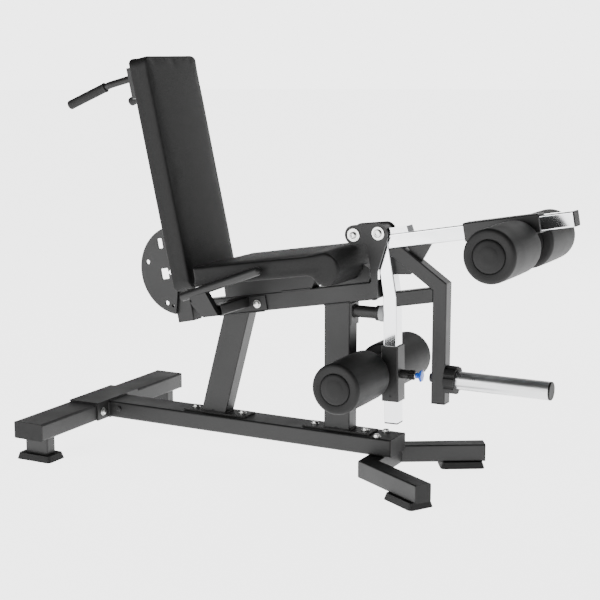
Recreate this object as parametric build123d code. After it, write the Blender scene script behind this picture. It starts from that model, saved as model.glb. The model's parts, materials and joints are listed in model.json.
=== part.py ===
from build123d import *
import os
from math import atan2, cos, degrees, hypot, radians, sin, sqrt

# Leg extension and leg curl machine, millimetres.
# +X is forward (the way a seated user faces), +Y is the user's left, +Z is up.
# The floor is Z = 0 and Y = 0 is the plane of symmetry. The dimensions below count X from the rear
# cross beam's middle; the parts are written with X = 0 at the middle of the machine's length.
# LEFT is the +Y side and RIGHT the -Y side.

# ---- driving dimensions: base frame ----
PAD_H = 18.0                     # rubber foot height, floor to steel
WALL = 2.5                       # wall of every steel tube
FOOT_TUBE = 50.0                 # square tube of the front foot
BEAM_W, BEAM_H = 100.0, 50.0     # main beam and rear cross beam
BEAM_Z = PAD_H + FOOT_TUBE       # underside of both beams
BEAM_TOP = BEAM_Z + BEAM_H
CROSS_LEN = 743.0                # rear cross beam, over its end caps
CAP = 4.0                        # visible thickness of a plastic end cap
POST_X, POST_Y, POST_AT = 80.0, 38.0, 317.0      # rear stub posts
REAR_PAD = 122.0                 # length of a rear foot
PLATE = 5.0                      # saddle and base plates
SADDLE_HALF = 107.0
BEAM_END = 1003.0                # main beam's front end, with its cap
FOOT_X, FOOT_HALF = 956.3, 94.7  # front foot: straight middle stretch
ARM_X, ARM_Y = 1172.3, 222.7     # front foot: middle of an arm's end
FOOT_BOLT_Y = 31.0

# ---- driving dimensions: uprights and rail ----
LEAN = 15.0                      # rear upright leans forward
REAR_UP_X = 415.7                # its middle at the base plate
UP_DEPTH, UP_W = 80.0, 50.0      # upright tubes
FRONT_UP_X = 823.0
BASE_LEN, BASE_W = 210.0, 62.0   # upright base plates
BASE_REAR_X = 422.0
BASE_BOLT = 80.0                 # bolt to plate middle
TILT = 10.0                      # seat rail, pivot plates and curl bar rise forward by this
RAIL = 50.0
RAIL_AT = (783.5, 476.5)         # a point on the rail's underside
RAIL_FRONT, RAIL_BACK = 152.0, 452.0             # rail lengths ahead of and behind that point

# ---- driving dimensions: seat ----
SEAT_TILT = 9.2
SEAT_AT = (433.0, 578.0)         # top rear edge of the seat pad
SEAT_LEN, SEAT_HALF, SEAT_T = 421.0, 170.0, 57.0
ROLL_R = 46.0                    # knee roll at the seat's front
BOARD_T, BOARD_INSET = 12.0, 6.0

# ---- driving dimensions: backrest ----
BACK_TILT = 12.4
RECLINE = (306.0, 540.0)         # backrest pivot
PAD_BACK, PAD_FRONT = 38.9, 101.9                # pad planes, ahead of the pivot
PAD_LOW, PAD_HIGH, BACK_HALF = -58.0, 616.0, 138.0
POST_BACK, POST_FRONT, POST_LOW = -44.0, 13.0, -154.0
POST_HALF = 22.5
BACK_IN = 26.0                   # inner face of the backrest's side plates, clear of the rail's sides
DISC_R, HOLE_R, LATCH_DEG = 133.0, 109.8, 258.9  # latch plate rim, hole circle, latch angle
RECLINE_STOPS = (0.0, 11.5, 88.0)                # latched backrest angles
PIN_R = 5.0

# ---- driving dimensions: lever ----
AXLE = (950.0, 689.0)            # lever pivot
TIE = (876.0, 680.0)             # tie bolt between the pivot plates
PIVOT_IN, PIVOT_T = 25.0, 6.0
BAR = 40.0                       # square chrome bars and weight arm
CURL_DROP, CURL_START, CURL_END = 26.6, 20.4, 541.3   # curl bar: its middle below the pivot, its ends
KNEE = (981.0, 515.0)            # bend of the extension bar
BAR_LOW = (988.5, 161.0)         # its bottom end
ARM_POINTS = ((985.0, 651.1), (1127.0, 553.0), (1127.0, 234.0))
HORN_Z, HORN_R, HORN_END = 298.5, 25.0, 1436.0
NECK_R = 24.5                    # the horn is a little thinner inside its collar
COLLAR_R, COLLAR_T = 38.0, 30.0
AXLE_R, BARREL_R, RUN_FIT = 8.0, 23.0, 0.05

# ---- driving dimensions: carriages and rollers ----
SLEEVE = 50.0
SLEEVE_WALL = 4.5
LOWER_Z = (222.0, 377.0)
LOWER_ROLLER = (928.0, 297.0)
UPPER_T = (244.0, 452.0)         # upper sleeve, distances along the curl bar from the pivot
UPPER_ROLLER = (1347.0, 680.0)
ROLLER_R, ROLLER_IN, ROLLER_OUT = 70.0, 45.0, 248.0
HUB_R, ROLLER_AXLE_R = 44.0, 12.0
HOLE_STEP = 45.0


# ---- helpers ----
def band(points, half):
    """Outline of a strip of half-width half along a centre line, with mitred bends."""
    sides = ([], [])
    for i, (a, b) in enumerate(points):
        before = points[max(i - 1, 0)], points[max(i, 1)]
        after = points[min(i, len(points) - 2)], points[min(i + 1, len(points) - 1)]
        normals = []
        for (x0, z0), (x1, z1) in (before, after):
            run = hypot(x1 - x0, z1 - z0)
            normals.append(((z0 - z1) / run, (x1 - x0) / run))
        (n0x, n0z), (n1x, n1z) = normals
        scale = half / (1.0 + n0x * n1x + n0z * n1z)
        for side, sign in zip(sides, (1.0, -1.0)):
            side.append((a + sign * scale * (n0x + n1x), b + sign * scale * (n0z + n1z)))
    return sides[0] + sides[1][::-1]


def outline(points):
    return make_face(Polyline(*points, close=True))


def tube(points, depth, width, wall=WALL, plane=Plane.XZ, corner=4.0):
    """Rectangular tube, open at both ends, along a bent centre line that lies in the plane."""
    outer = extrude(plane * outline(band(points, depth / 2)), amount=width / 2, both=True)
    rims = [e for e in outer.edges() if e.length > depth * 1.02
            and abs(abs(plane.to_local_coords(e.center()).Z) - width / 2) < 0.001]
    outer = fillet(rims, corner)
    inner = extrude(plane * outline(band(points, depth / 2 - wall)), amount=width / 2 - wall, both=True)
    return outer - inner


def plug(point, direction, depth, width, thick, wall=WALL, tongue=14.0):
    """End cap of a rectangular tube: a flange over the end and a tongue inside the tube."""
    sideways = abs(direction[1]) > 0.4
    plane = Plane(origin=point, x_dir=(0, 0, 1) if sideways else (0, 1, 0), z_dir=direction)
    flange = extrude(plane * RectangleRounded(width, depth, 4), amount=thick)
    inside = plane * Rectangle(width - 2 * wall - 0.4, depth - 2 * wall - 0.4)
    return flange + extrude(inside, amount=-tongue)


def slab(face, low, high):
    """Plate between Y = low and Y = high whose outline is drawn as (X, Z)."""
    return extrude(Plane.XZ.offset(-high) * face, amount=high - low)


def rod(point, radius, low, high):
    """Cylinder along Y through an (X, Z) point."""
    return slab(Pos(*point) * Circle(radius), low, high)


def pipe(start, end, radius):
    """Cylinder between two points in space."""
    run = Vector(*end) - Vector(*start)
    return extrude(Plane(origin=start, z_dir=run) * Circle(radius), amount=run.length)


def turned(angle):
    """Unit vectors (along, across) of a direction that rises forward by the angle."""
    a = radians(angle)
    return (cos(a), sin(a)), (-sin(a), cos(a))


def local_point(origin, angle, along, across):
    (ax, az), (nx, nz) = turned(angle)
    return origin[0] + along * ax + across * nx, origin[1] + along * az + across * nz


def on_rail(along, across):
    return local_point(RAIL_AT, TILT, along, across)


def on_seat(along, across):
    return local_point(SEAT_AT, SEAT_TILT, along, across)


def on_lever(along, across):
    return local_point(AXLE, TILT, along, across)


def on_back(ahead, up):
    """Backrest point: ahead of the pivot across the pad, and up along the pad."""
    return local_point(RECLINE, BACK_TILT, ahead, up)


def hex_bolt(plane, head_r, shank_r, shank, washer_r=0.0):
    """Bolt whose head stands on the plane and whose shank goes down through it."""
    seat = 2.0 if washer_r else 0.0
    head = extrude(plane.offset(seat) * RegularPolygon(head_r, 6), amount=0.62 * head_r)
    shape = head + extrude(plane * Circle(shank_r), amount=-shank)
    shape += extrude(plane * Circle(shank_r), amount=seat) if seat else extrude(plane * Circle(shank_r), amount=0.5)
    if washer_r:
        shape += extrude(plane * Circle(washer_r), amount=seat)
    return shape


# ---- base frame ----
def rear_cross_beam():
    half = CROSS_LEN / 2 - CAP
    middle = Plane(origin=(0, 0, BEAM_Z + BEAM_H / 2), x_dir=(0, 1, 0), z_dir=(0, 0, 1))
    return tube([(-half, 0), (half, 0)], BEAM_W, BEAM_H, plane=middle, corner=6.0)


def rear_posts():
    posts = []
    for side in (-1, 1):
        section = RectangleRounded(POST_X, POST_Y, 5) - RectangleRounded(POST_X - 6, POST_Y - 6, 2)
        posts.append(Pos(0, side * POST_AT, PAD_H) * extrude(section, amount=FOOT_TUBE))
    return posts


def foot_pad(length, width):
    """Flared rubber foot, wider at the floor."""
    low = Plane.XY * RectangleRounded(length, width, 12)
    high = Plane.XY.offset(PAD_H) * RectangleRounded(length - 12, width - 12, 8)
    return loft([low, high])


def rear_foot_pads():
    return [Pos(0, side * POST_AT, 0) * foot_pad(REAR_PAD, 78) for side in (-1, 1)]


def saddle_plate():
    """Bent plate over the cross beam's top and front, which the main beam is welded to."""
    top = Pos(2.5, 0, BEAM_TOP + PLATE / 2) * Box(BEAM_W + PLATE, 2 * SADDLE_HALF, PLATE)
    front = Pos(BEAM_W / 2 + PLATE / 2, 0, BEAM_Z + BEAM_H / 2) * Box(PLATE, 2 * SADDLE_HALF, BEAM_H)
    return top + front


def main_beam():
    start, end = BEAM_W / 2 + PLATE, BEAM_END - CAP
    middle = BEAM_Z + BEAM_H / 2
    return tube([(start, middle), (end, middle)], BEAM_H, BEAM_W, corner=6.0)


def front_foot():
    """One tube cut and welded: a straight middle and two arms that spread forward."""
    line = [(ARM_X, -ARM_Y), (FOOT_X, -FOOT_HALF), (FOOT_X, FOOT_HALF), (ARM_X, ARM_Y)]
    return tube(line, FOOT_TUBE, FOOT_TUBE, plane=Plane.XY.offset(PAD_H + FOOT_TUBE / 2))


def arm_angle():
    return degrees(atan2(ARM_Y - FOOT_HALF, ARM_X - FOOT_X))


def front_foot_pads():
    pad = 127.0
    pads = []
    for side in (-1, 1):
        turn = Rot(0, 0, side * arm_angle())
        a = radians(arm_angle())
        x, y = ARM_X - 0.5 * pad * cos(a), ARM_Y - 0.5 * pad * sin(a)
        pads.append(Pos(x, side * y, 0) * turn * foot_pad(pad, 79))
    return pads


def frame_end_caps():
    z = BEAM_Z + BEAM_H / 2
    caps = [plug((0, side * (CROSS_LEN / 2 - CAP), z), (0, side, 0), BEAM_W, BEAM_H, CAP)
            for side in (-1, 1)]
    caps.append(plug((BEAM_END - CAP, 0, z), (1, 0, 0), BEAM_H, BEAM_W, CAP))
    a = radians(arm_angle())
    for side in (-1, 1):
        end = (ARM_X, side * ARM_Y, PAD_H + FOOT_TUBE / 2)
        caps.append(plug(end, (cos(a), side * sin(a), 0), FOOT_TUBE, FOOT_TUBE, 3))
    return caps


def upright_base(x):
    return Pos(x, 0, BEAM_TOP + PLATE / 2) * Box(BASE_LEN, BASE_W, PLATE)


def rail_underside():
    """Plane of the rail's underside, facing down."""
    return Plane(origin=(RAIL_AT[0], 0, RAIL_AT[1]), x_dir=(0, 1, 0),
                 z_dir=(sin(radians(TILT)), 0, -cos(radians(TILT))))


def upright(foot_x, lean):
    run = 460.0
    z = BEAM_TOP + PLATE
    dx, dz = sin(radians(lean)), cos(radians(lean))
    line = [(foot_x - 30 * dx, z - 30 * dz), (foot_x + run * dx, z + run * dz)]
    post = tube(line, UP_DEPTH, UP_W)
    post = split(post, bisect_by=Plane.XY.offset(z), keep=Keep.TOP)
    return split(post, bisect_by=rail_underside(), keep=Keep.TOP)


def rear_upright():
    return upright(REAR_UP_X, LEAN) + upright_base(BASE_REAR_X)


def front_upright():
    return upright(FRONT_UP_X, 0.0) + upright_base(FRONT_UP_X)


def frame_bolts():
    """Every bolt head that holds the base together, with its shank through the tubes."""
    bolts = []
    for x in (BASE_REAR_X, FRONT_UP_X):
        for side in (-1, 1):
            seat = Plane(origin=(x + side * BASE_BOLT, 0, BEAM_TOP + PLATE))
            bolts.append(hex_bolt(seat, 9, 5, 70, 12))
    for side in (-1, 1):
        seat = Plane(origin=(FOOT_X - 4, side * FOOT_BOLT_Y, BEAM_TOP))
        bolts.append(hex_bolt(seat, 9, 5, 58, 12))
        seat = Plane(origin=(BEAM_W / 2 + PLATE, side * 80, 92), x_dir=(0, 1, 0), z_dir=(1, 0, 0))
        bolts.append(hex_bolt(seat, 9, 5, 20, 12))
        seat = Plane(origin=(93, side * BEAM_W / 2, 98), x_dir=(1, 0, 0), z_dir=(0, side, 0))
        bolts.append(hex_bolt(seat, 8, 5, 12))
    for x, z in ((570.0, 462.0), (443.0, 440.0)):
        for side in (-1, 1):
            seat = Plane(origin=(x, side * (RAIL / 2 + PLATE), z), x_dir=(1, 0, 0), z_dir=(0, side, 0))
            bolts.append(hex_bolt(seat, 9, 5, 12, 12))
    return bolts


def bolt_space(shape):
    """Take the bolts' holes out of a steel part."""
    for bolt in frame_bolts():
        shape = shape - bolt
    return shape


# ---- rail and pivot plates ----
def seat_rail():
    back, front = on_rail(-RAIL_BACK, RAIL / 2), on_rail(RAIL_FRONT, RAIL / 2)
    rail = tube([back, front], RAIL, RAIL)
    cut = outline([on_rail(-500, -5), on_rail(-409, -5), on_rail(-452, 60), on_rail(-500, 60)])
    rail = rail - slab(cut, -30, 30)
    nose = outline([(800, 529), (918, 549), (922, 588), (900, 600), (864, 600), (830, 570), (800, 556)])
    nose -= Pos(*on_seat(SEAT_LEN, -ROLL_R)) * Circle(ROLL_R + 0.5)
    end = outline([on_rail(RAIL_FRONT, 0), on_rail(RAIL_FRONT + 6, 0),
                   on_rail(RAIL_FRONT + 6, RAIL), on_rail(RAIL_FRONT, RAIL)])
    post = slab(outline(band(post_line(), (POST_FRONT - POST_BACK) / 2)), -30, 30)
    return rail + slab(nose, -20, 20) + slab(end, -PIVOT_IN, PIVOT_IN) - post


def rail_side_plates():
    """Plates welded to the rear upright that the rail is bolted between."""
    corners = [on_rail(-350, 0.5), on_rail(-183, 0.5), on_rail(-183, RAIL - 6), on_rail(-330, RAIL - 6)]
    face = outline(corners)
    return [slab(face, -RAIL / 2 - PLATE, -RAIL / 2), slab(face, RAIL / 2, RAIL / 2 + PLATE)]


def pivot_plate(side):
    """Cheek plate that carries the lever's pivot ahead of the seat and the tie bolt over the knee roll."""
    span = hypot(AXLE[0] - TIE[0], AXLE[1] - TIE[1])
    rise = degrees(atan2(AXLE[1] - TIE[1], AXLE[0] - TIE[0]))
    middle = Pos((AXLE[0] + TIE[0]) / 2, (AXLE[1] + TIE[1]) / 2)
    head = middle * Rot(0, 0, rise) * SlotCenterToCenter(span, 54)
    neck = outline([(900, 670), (917, 650), (925, 605), (930, 570), on_rail(RAIL_FRONT, 0),
                    on_rail(RAIL_FRONT + 16, 1), (948, 581), (978, 678)])
    face = head + neck - Pos(*AXLE) * Circle(AXLE_R) - Pos(*TIE) * Circle(6)
    low, high = sorted((side * PIVOT_IN, side * (PIVOT_IN + PIVOT_T)))
    return slab(face, low, high)


def pivot_washers():
    washers = []
    edge = PIVOT_IN + PIVOT_T
    for point, bore in ((AXLE, AXLE_R), (TIE, 6.0)):
        for low in (-edge - 3, edge):
            washers.append(rod(point, 18.5, low, low + 3) - rod(point, bore, low - 1, low + 4))
    edge = BACK_IN + PIVOT_T + 0.3
    for low in (-edge - 3, edge):
        washers.append(rod(RECLINE, 16, low, low + 3) - rod(RECLINE, AXLE_R, low - 1, low + 4))
    return washers


def cross_bolt(point, radius, reach):
    """Bolt along Y with a button head on the right and a nut on the left."""
    shank = rod(point, radius, -reach, reach)
    head = rod(point, radius + 3.5, -reach - 7, -reach)
    head = fillet(head.edges().filter_by(GeomType.CIRCLE).sort_by(Axis.Y)[0], 3)
    nut = slab(Pos(*point) * RegularPolygon(radius + 5, 6), reach, reach + 9)
    return shank + head + nut


def lever_axle():
    return cross_bolt(AXLE, AXLE_R, PIVOT_IN + PIVOT_T + 3)


def tie_bolt():
    return cross_bolt(TIE, 6.0, PIVOT_IN + PIVOT_T + 3)


def tie_spacer():
    return rod(TIE, 11, -PIVOT_IN, PIVOT_IN) - rod(TIE, 6.0, -PIVOT_IN - 1, PIVOT_IN + 1)


def recline_axle():
    return cross_bolt(RECLINE, AXLE_R, BACK_IN + PIVOT_T + 3.3)


# ---- seat ----
def seat_support():
    """Wedge between the rail and the seat board."""
    top = [on_seat(330, -SEAT_T), on_seat(12, -SEAT_T)]
    low = [on_rail(-318, RAIL), on_rail(-32, RAIL)]
    return slab(outline(top + low), -25, 25)


def seat_outline():
    roll = on_seat(SEAT_LEN, -ROLL_R)
    body = outline([on_seat(0, 0), on_seat(SEAT_LEN, 0), on_seat(SEAT_LEN, -SEAT_T), on_seat(0, -SEAT_T)])
    return body + Pos(*roll) * Circle(ROLL_R)


def board_box(origin, angle, low, high, bottom, thick, half):
    corners = [local_point(origin, angle, a, c) for a, c in
               ((low, bottom), (high, bottom), (high, bottom + thick), (low, bottom + thick))]
    return slab(outline(corners), -half, half)


def seat_board():
    half = SEAT_HALF - BOARD_INSET
    return board_box(SEAT_AT, SEAT_TILT, BOARD_INSET, SEAT_LEN - 50, -SEAT_T, BOARD_T, half)


def seat_pad():
    pad = slab(seat_outline(), -SEAT_HALF, SEAT_HALF)
    pad = fillet(pad.edges().filter_by(Axis.Y).sort_by(Axis.X)[0:1], 2)
    return pad - seat_board()


def bent_rod(points, radius, bend):
    """Round bar along straight runs joined by a bend."""
    path = FilletPolyline(*points, radius=bend)
    return sweep(Plane(origin=path @ 0, z_dir=path % 0) * Circle(radius), path=path)


def seat_handle(side):
    """Handle along the seat's side, on a leg from a cross tube that comes out of the rail's side plate."""
    rear, tip = (418, side * 189, 494), (660, side * 189, 585)
    bar = pipe(rear, tip, 12.5) + Pos(*tip) * Sphere(12.5)
    leg_side = outline([(447, 497), (500, 515), (541, 453), (493, 444)])
    low, high = sorted((side * 177, side * 199))
    along = turned(TILT)[0]
    run = Plane(origin=(519, side * (RAIL / 2 + PLATE), 462), x_dir=(along[0], 0, along[1]),
                z_dir=(0, side, 0))
    section = RectangleRounded(48, 30, 4) - RectangleRounded(43, 25, 1.5)
    return bar + slab(leg_side, low, high) + extrude(run * section, amount=150)


# ---- bumper ----
def bar_rear_face(z):
    """X of the extension bar's rear face at a height below its bend."""
    slope = (BAR_LOW[0] - KNEE[0]) / (KNEE[1] - BAR_LOW[1])
    return KNEE[0] + slope * (KNEE[1] - z) - BAR / 2 * sqrt(1 + slope ** 2)


def bumper_bracket():
    z, face = 463.0, FRONT_UP_X + UP_DEPTH / 2
    plate = Pos(face + 2.5, 0, 456) * Box(5, 46, 62)
    along = Plane(origin=(face + 5, 0, z), x_dir=(0, 1, 0), z_dir=(1, 0, 0))
    stem = extrude(along * Circle(17), amount=68)
    flange = extrude(along.offset(68) * Circle(21.5), amount=10)
    return plate + stem + flange


def bumper_pad():
    start = FRONT_UP_X + UP_DEPTH / 2 + 83
    end = min(bar_rear_face(440), bar_rear_face(486)) - 0.4
    along = Plane(origin=(start, 0, 463), x_dir=(0, 1, 0), z_dir=(1, 0, 0))
    return extrude(along * Circle(23), amount=end - start)


# ---- recline post, latch plate and backrest ----
def latch_point(turn=0.0):
    """Hole of the latch plate that meets the latch pin when the backrest has turned by this angle."""
    a = radians(LATCH_DEG - turn)
    return RECLINE[0] + HOLE_R * cos(a), RECLINE[1] + HOLE_R * sin(a)


def post_line():
    middle = (POST_BACK + POST_FRONT) / 2
    return [on_back(middle, POST_LOW), on_back(middle, -20)]


def recline_post():
    """Fixed post behind the seat, round at the top about the backrest's pivot, with the latch boss."""
    post = tube(post_line(), POST_FRONT - POST_BACK, 2 * POST_HALF)
    post = post + rod(RECLINE, 30, -POST_HALF, POST_HALF)
    post = post + rod(latch_point(), 12, -POST_HALF, 45)
    post = post - rod(RECLINE, AXLE_R, -50, 50)
    return post - rod(latch_point(), PIN_R + RUN_FIT, -50, 60)


def recline_pin():
    """Sprung latch pin with its pull knob on the left side. Its tip stops just short of the plate's hole."""
    shaft = rod(latch_point(), PIN_R, 2 - BACK_IN, 60)
    knob = rod(latch_point(), 13, 46, 72)
    return shaft + fillet(knob.edges().filter_by(GeomType.CIRCLE), 4)


def recline_plate():
    """Latch plate on the right of the backrest bar: part of a disc, with latch holes and lightening cuts."""
    disc = Circle(DISC_R)
    disc -= Pos(POST_FRONT + 100, 0) * Rectangle(200, 400)
    a, b = radians(265.0 - BACK_TILT), radians(285.0 - BACK_TILT)
    disc -= outline([(-12, -40), (220 * cos(a), 220 * sin(a)), (220 * cos(b), -260), (60, -40)])
    disc += Pos(0, 0) * Circle(24)
    disc -= Circle(AXLE_R + RUN_FIT)
    for angle in RECLINE_STOPS:
        a = radians(LATCH_DEG - angle - BACK_TILT)
        disc -= Pos(HOLE_R * cos(a), HOLE_R * sin(a)) * Circle(PIN_R + 0.1 + (2 if angle else 0))
    disc -= Pos(-47, 88) * Rot(0, 0, -2) * RectangleRounded(17, 30, 3)
    disc -= Pos(-50.5, -3) * Rot(0, 0, -2) * RectangleRounded(26, 32, 3)
    disc -= Pos(-29, -2) * Circle(9)
    face = Pos(*RECLINE) * Rot(0, 0, BACK_TILT) * disc
    return slab(face, -BACK_IN - PIVOT_T, -BACK_IN)


def recline_side_plate():
    """Plain plate on the left of the backrest bar."""
    shape = Circle(24) + outline([(-20, 0), (24, 0), (34, 60), (34, 140), (-10, 140), (-14, 60)])
    face = Pos(*RECLINE) * Rot(0, 0, BACK_TILT) * (shape - Circle(AXLE_R + RUN_FIT))
    return slab(face, BACK_IN, BACK_IN + PIVOT_T)


def backrest_bar():
    return tube([on_back(13, 42), on_back(13, 506)], 2 * (PAD_BACK - 13), 2 * BACK_IN)


def backrest_board():
    half = BACK_HALF - BOARD_INSET
    ends = (PAD_LOW + BOARD_INSET, PAD_HIGH - BOARD_INSET)
    corners = [on_back(a, s) for a, s in ((PAD_BACK, ends[0]), (PAD_BACK + BOARD_T, ends[0]),
                                          (PAD_BACK + BOARD_T, ends[1]), (PAD_BACK, ends[1]))]
    return slab(outline(corners), -half, half)


def backrest_pad():
    corners = [on_back(a, s) for a, s in ((PAD_BACK, PAD_LOW), (PAD_FRONT, PAD_LOW),
                                          (PAD_FRONT, PAD_HIGH), (PAD_BACK, PAD_HIGH))]
    return slab(outline(corners), -BACK_HALF, BACK_HALF) - backrest_board()


def handle_crossbar():
    corners = [on_back(a, s) for a, s in ((PAD_BACK - 16, 508), (PAD_BACK, 508),
                                          (PAD_BACK, 596), (PAD_BACK - 16, 596))]
    return slab(outline(corners), -127, 127)


def back_handle_points(side):
    x, z = on_back(PAD_BACK - 16, 567)
    return [(x, side * 112, z), (150, side * 137, 1080), (21.7, side * 154.4, 1021.5)]


def back_handle(side):
    return bent_rod(back_handle_points(side), 10, 30) - handle_crossbar()


def back_handle_grips():
    grips = []
    for side in (-1, 1):
        a, bend, end = [Vector(*p) for p in back_handle_points(side)]
        run = (end - bend).normalized()
        start, tip = end - run * 128, end + run * 4
        grip = pipe(tuple(start), tuple(tip), 13.5) - pipe(tuple(start), tuple(end), 10)
        grips.append(grip)
    return grips


# ---- lever ----
def pivot_barrel():
    """Barrel that turns on the lever's axle, welded between the two bars."""
    return rod(AXLE, BARREL_R, -22, 22) - rod(AXLE, AXLE_R + RUN_FIT, -30, 30)


def curl_bar():
    """Bar the upper carriage slides on, with a block on top that ties it to the pivot barrel."""
    start, end = on_lever(CURL_START, -CURL_DROP), on_lever(CURL_END, -CURL_DROP)
    top = -CURL_DROP + BAR / 2
    block = outline([on_lever(a, c) for a, c in ((20.2, top), (84, top), (81, 10), (20.2, 10))])
    bar = tube([start, end], BAR, BAR) + slab(block, -20, 20) - rod(AXLE, BARREL_R, -30, 30)
    for step in range(4):
        spot = on_lever(UPPER_T[0] + 56 - 2 * HOLE_STEP + step * HOLE_STEP, -CURL_DROP)
        bar = bar - rod(spot, PIN_R + 0.6, 5, 30)
    return bar


def extension_bar():
    """Bar square to the curl bar at the pivot, bent to hang nearly upright."""
    bar = tube([AXLE, KNEE, BAR_LOW], BAR, BAR) - rod(AXLE, BARREL_R, -30, 30)
    for step in (-1, 0, 1):
        bar = bar - Pos(1000, 0, HORN_Z + step * HOLE_STEP) * Rot(0, 90, 0) * Cylinder(PIN_R + 0.6, 50)
    return bar


def weight_arm():
    """Arm that runs down from the two bars' corner and hangs upright, with its link and gussets."""
    under_curl = -CURL_DROP - BAR / 2
    bars = slab(outline([on_lever(a, c) for a, c in ((-200, under_curl), (300, under_curl),
                                                     (300, 80), (-200, 80))]), -30, 30)
    behind = [(850, 800), AXLE, KNEE, BAR_LOW, (850, 161)]
    bars = bars + slab(outline(behind) + outline(band([AXLE, KNEE, BAR_LOW], BAR / 2 + 0.2)), -30, 30)
    arm = tube(ARM_POINTS, BAR, BAR) - bars
    strip = slab(outline(band(ARM_POINTS, BAR / 2)), -30, 30)
    link = tube([(960, 501.5), (1140, 535.1)], BAR, BAR) - bars - strip
    over = outline([on_lever(68, under_curl), on_lever(140, under_curl), (1060, 603)])
    under = outline([(970, 624), (1002, 624), (1048, 590), (1034, 578), (970, 574)])
    gussets = (slab(over, -3, 3) + slab(under, -3, 3)) - bars - strip
    shape = arm + link + gussets
    return shape - Pos(ARM_POINTS[1][0], 0, HORN_Z) * Rot(0, 90, 0) * Cylinder(8, 60)


def lever_end_caps():
    along = turned(TILT)[0]
    x, z = on_lever(CURL_END, -CURL_DROP)
    caps = [plug((x, 0, z), (along[0], 0, along[1]), BAR, BAR, CAP)]
    run = Vector(BAR_LOW[0] - KNEE[0], 0, BAR_LOW[1] - KNEE[1])
    caps.append(plug((BAR_LOW[0], 0, BAR_LOW[1]), tuple(run), BAR, BAR, CAP))
    end = ARM_POINTS[-1]
    caps.append(plug((end[0], 0, end[1]), (0, 0, -1), BAR, BAR, CAP))
    horn = Plane(origin=(HORN_END, 0, HORN_Z), x_dir=(0, 1, 0), z_dir=(1, 0, 0))
    cap = extrude(horn * Circle(HORN_R), amount=5) + extrude(horn * Circle(HORN_R - 3.2), amount=-15)
    caps.append(fillet(cap.edges().filter_by(GeomType.CIRCLE).sort_by(Axis.X)[-1], 2))
    return caps


def weight_horn():
    face = ARM_POINTS[1][0] + BAR / 2
    along = Plane(origin=(face, 0, HORN_Z), x_dir=(0, 1, 0), z_dir=(1, 0, 0))
    neck = extrude(along * (Circle(NECK_R) - Circle(8)), amount=COLLAR_T)
    bore = Circle(HORN_R) - Circle(HORN_R - 3)
    return neck + extrude(along.offset(COLLAR_T) * bore, amount=HORN_END - face - COLLAR_T)


def horn_collar():
    """Scalloped stop ring that the weight plates rest against."""
    ring = Circle(COLLAR_R) - Circle(NECK_R)
    for step in range(8):
        ring -= Rot(0, 0, 22.5 + 45 * step) * Pos(COLLAR_R + 3, 0) * Circle(7)
    face = ARM_POINTS[1][0] + BAR / 2
    along = Plane(origin=(face, 0, HORN_Z), x_dir=(0, 1, 0), z_dir=(1, 0, 0))
    return extrude(along * ring, amount=COLLAR_T)


def horn_bolt():
    face = ARM_POINTS[1][0] - BAR / 2
    seat = Plane(origin=(face, 0, HORN_Z), x_dir=(0, 1, 0), z_dir=(-1, 0, 0))
    return hex_bolt(seat, 13, 8, BAR + 16, 16)


# ---- carriages and rollers ----
def lower_bar_x(z):
    return bar_rear_face(z) + BAR / 2


def lower_sleeve():
    low, high = LOWER_Z
    sleeve = tube([(lower_bar_x(low), low), (lower_bar_x(high), high)], SLEEVE, SLEEVE, SLEEVE_WALL)
    reach = lower_bar_x(LOWER_ROLLER[1]) - SLEEVE / 2 + 1 - LOWER_ROLLER[0] + 16
    lug = Pos(LOWER_ROLLER[0] - 16 + reach / 2, 0, LOWER_ROLLER[1]) * Box(reach, 48, 32)
    lug = lug - slab(outline(band([KNEE, BAR_LOW], SLEEVE / 2 - 2)), -30, 30)
    front = Plane(origin=(lower_bar_x(300) + 24, 0, HORN_Z), x_dir=(0, 1, 0), z_dir=(1, 0, 0))
    boss = extrude(front * Circle(12.5), amount=25)
    bore = extrude(front.offset(-10) * Circle(PIN_R + RUN_FIT), amount=60)
    return sleeve + lug + boss - bore - rod(LOWER_ROLLER, ROLLER_AXLE_R, -40, 40)


def upper_sleeve():
    low, high = UPPER_T
    line = [on_lever(low, -CURL_DROP), on_lever(high, -CURL_DROP)]
    sleeve = tube(line, SLEEVE, SLEEVE, SLEEVE_WALL)
    (ax, az), (nx, nz) = turned(TILT)
    reach = (UPPER_ROLLER[0] - AXLE[0]) * ax + (UPPER_ROLLER[1] - AXLE[1]) * az
    drop = (UPPER_ROLLER[0] - AXLE[0]) * nx + (UPPER_ROLLER[1] - AXLE[1]) * nz
    top = -CURL_DROP - SLEEVE / 2 + 1
    corners = [on_lever(a, c) for a, c in ((reach - 16, drop - 16), (reach + 16, drop - 16),
                                           (reach + 16, top), (reach - 16, top))]
    spot = on_lever(low + 56, -CURL_DROP)
    sleeve = sleeve + slab(outline(corners), -24, 24) + rod(spot, 12.5, 24, 50)
    return sleeve - rod(spot, PIN_R + RUN_FIT, 15, 60) - rod(UPPER_ROLLER, ROLLER_AXLE_R, -40, 40)


def roller_axle(point):
    """Cross tube that both rollers turn on, with a retaining flange at each end."""
    end = ROLLER_OUT + 1.5
    tube_rod = rod(point, ROLLER_AXLE_R, -end, end) - rod(point, ROLLER_AXLE_R - 3, -end - 1, end + 1)
    for side in (-1, 1):
        low, high = sorted((side * end, side * (end + 3)))
        tube_rod = tube_rod + rod(point, 18, low, high)
        low, high = sorted((side * 34, side * 42))
        tube_rod = tube_rod + (rod(point, 18, low, high) - rod(point, ROLLER_AXLE_R, low - 1, high + 1))
    return tube_rod


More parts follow.
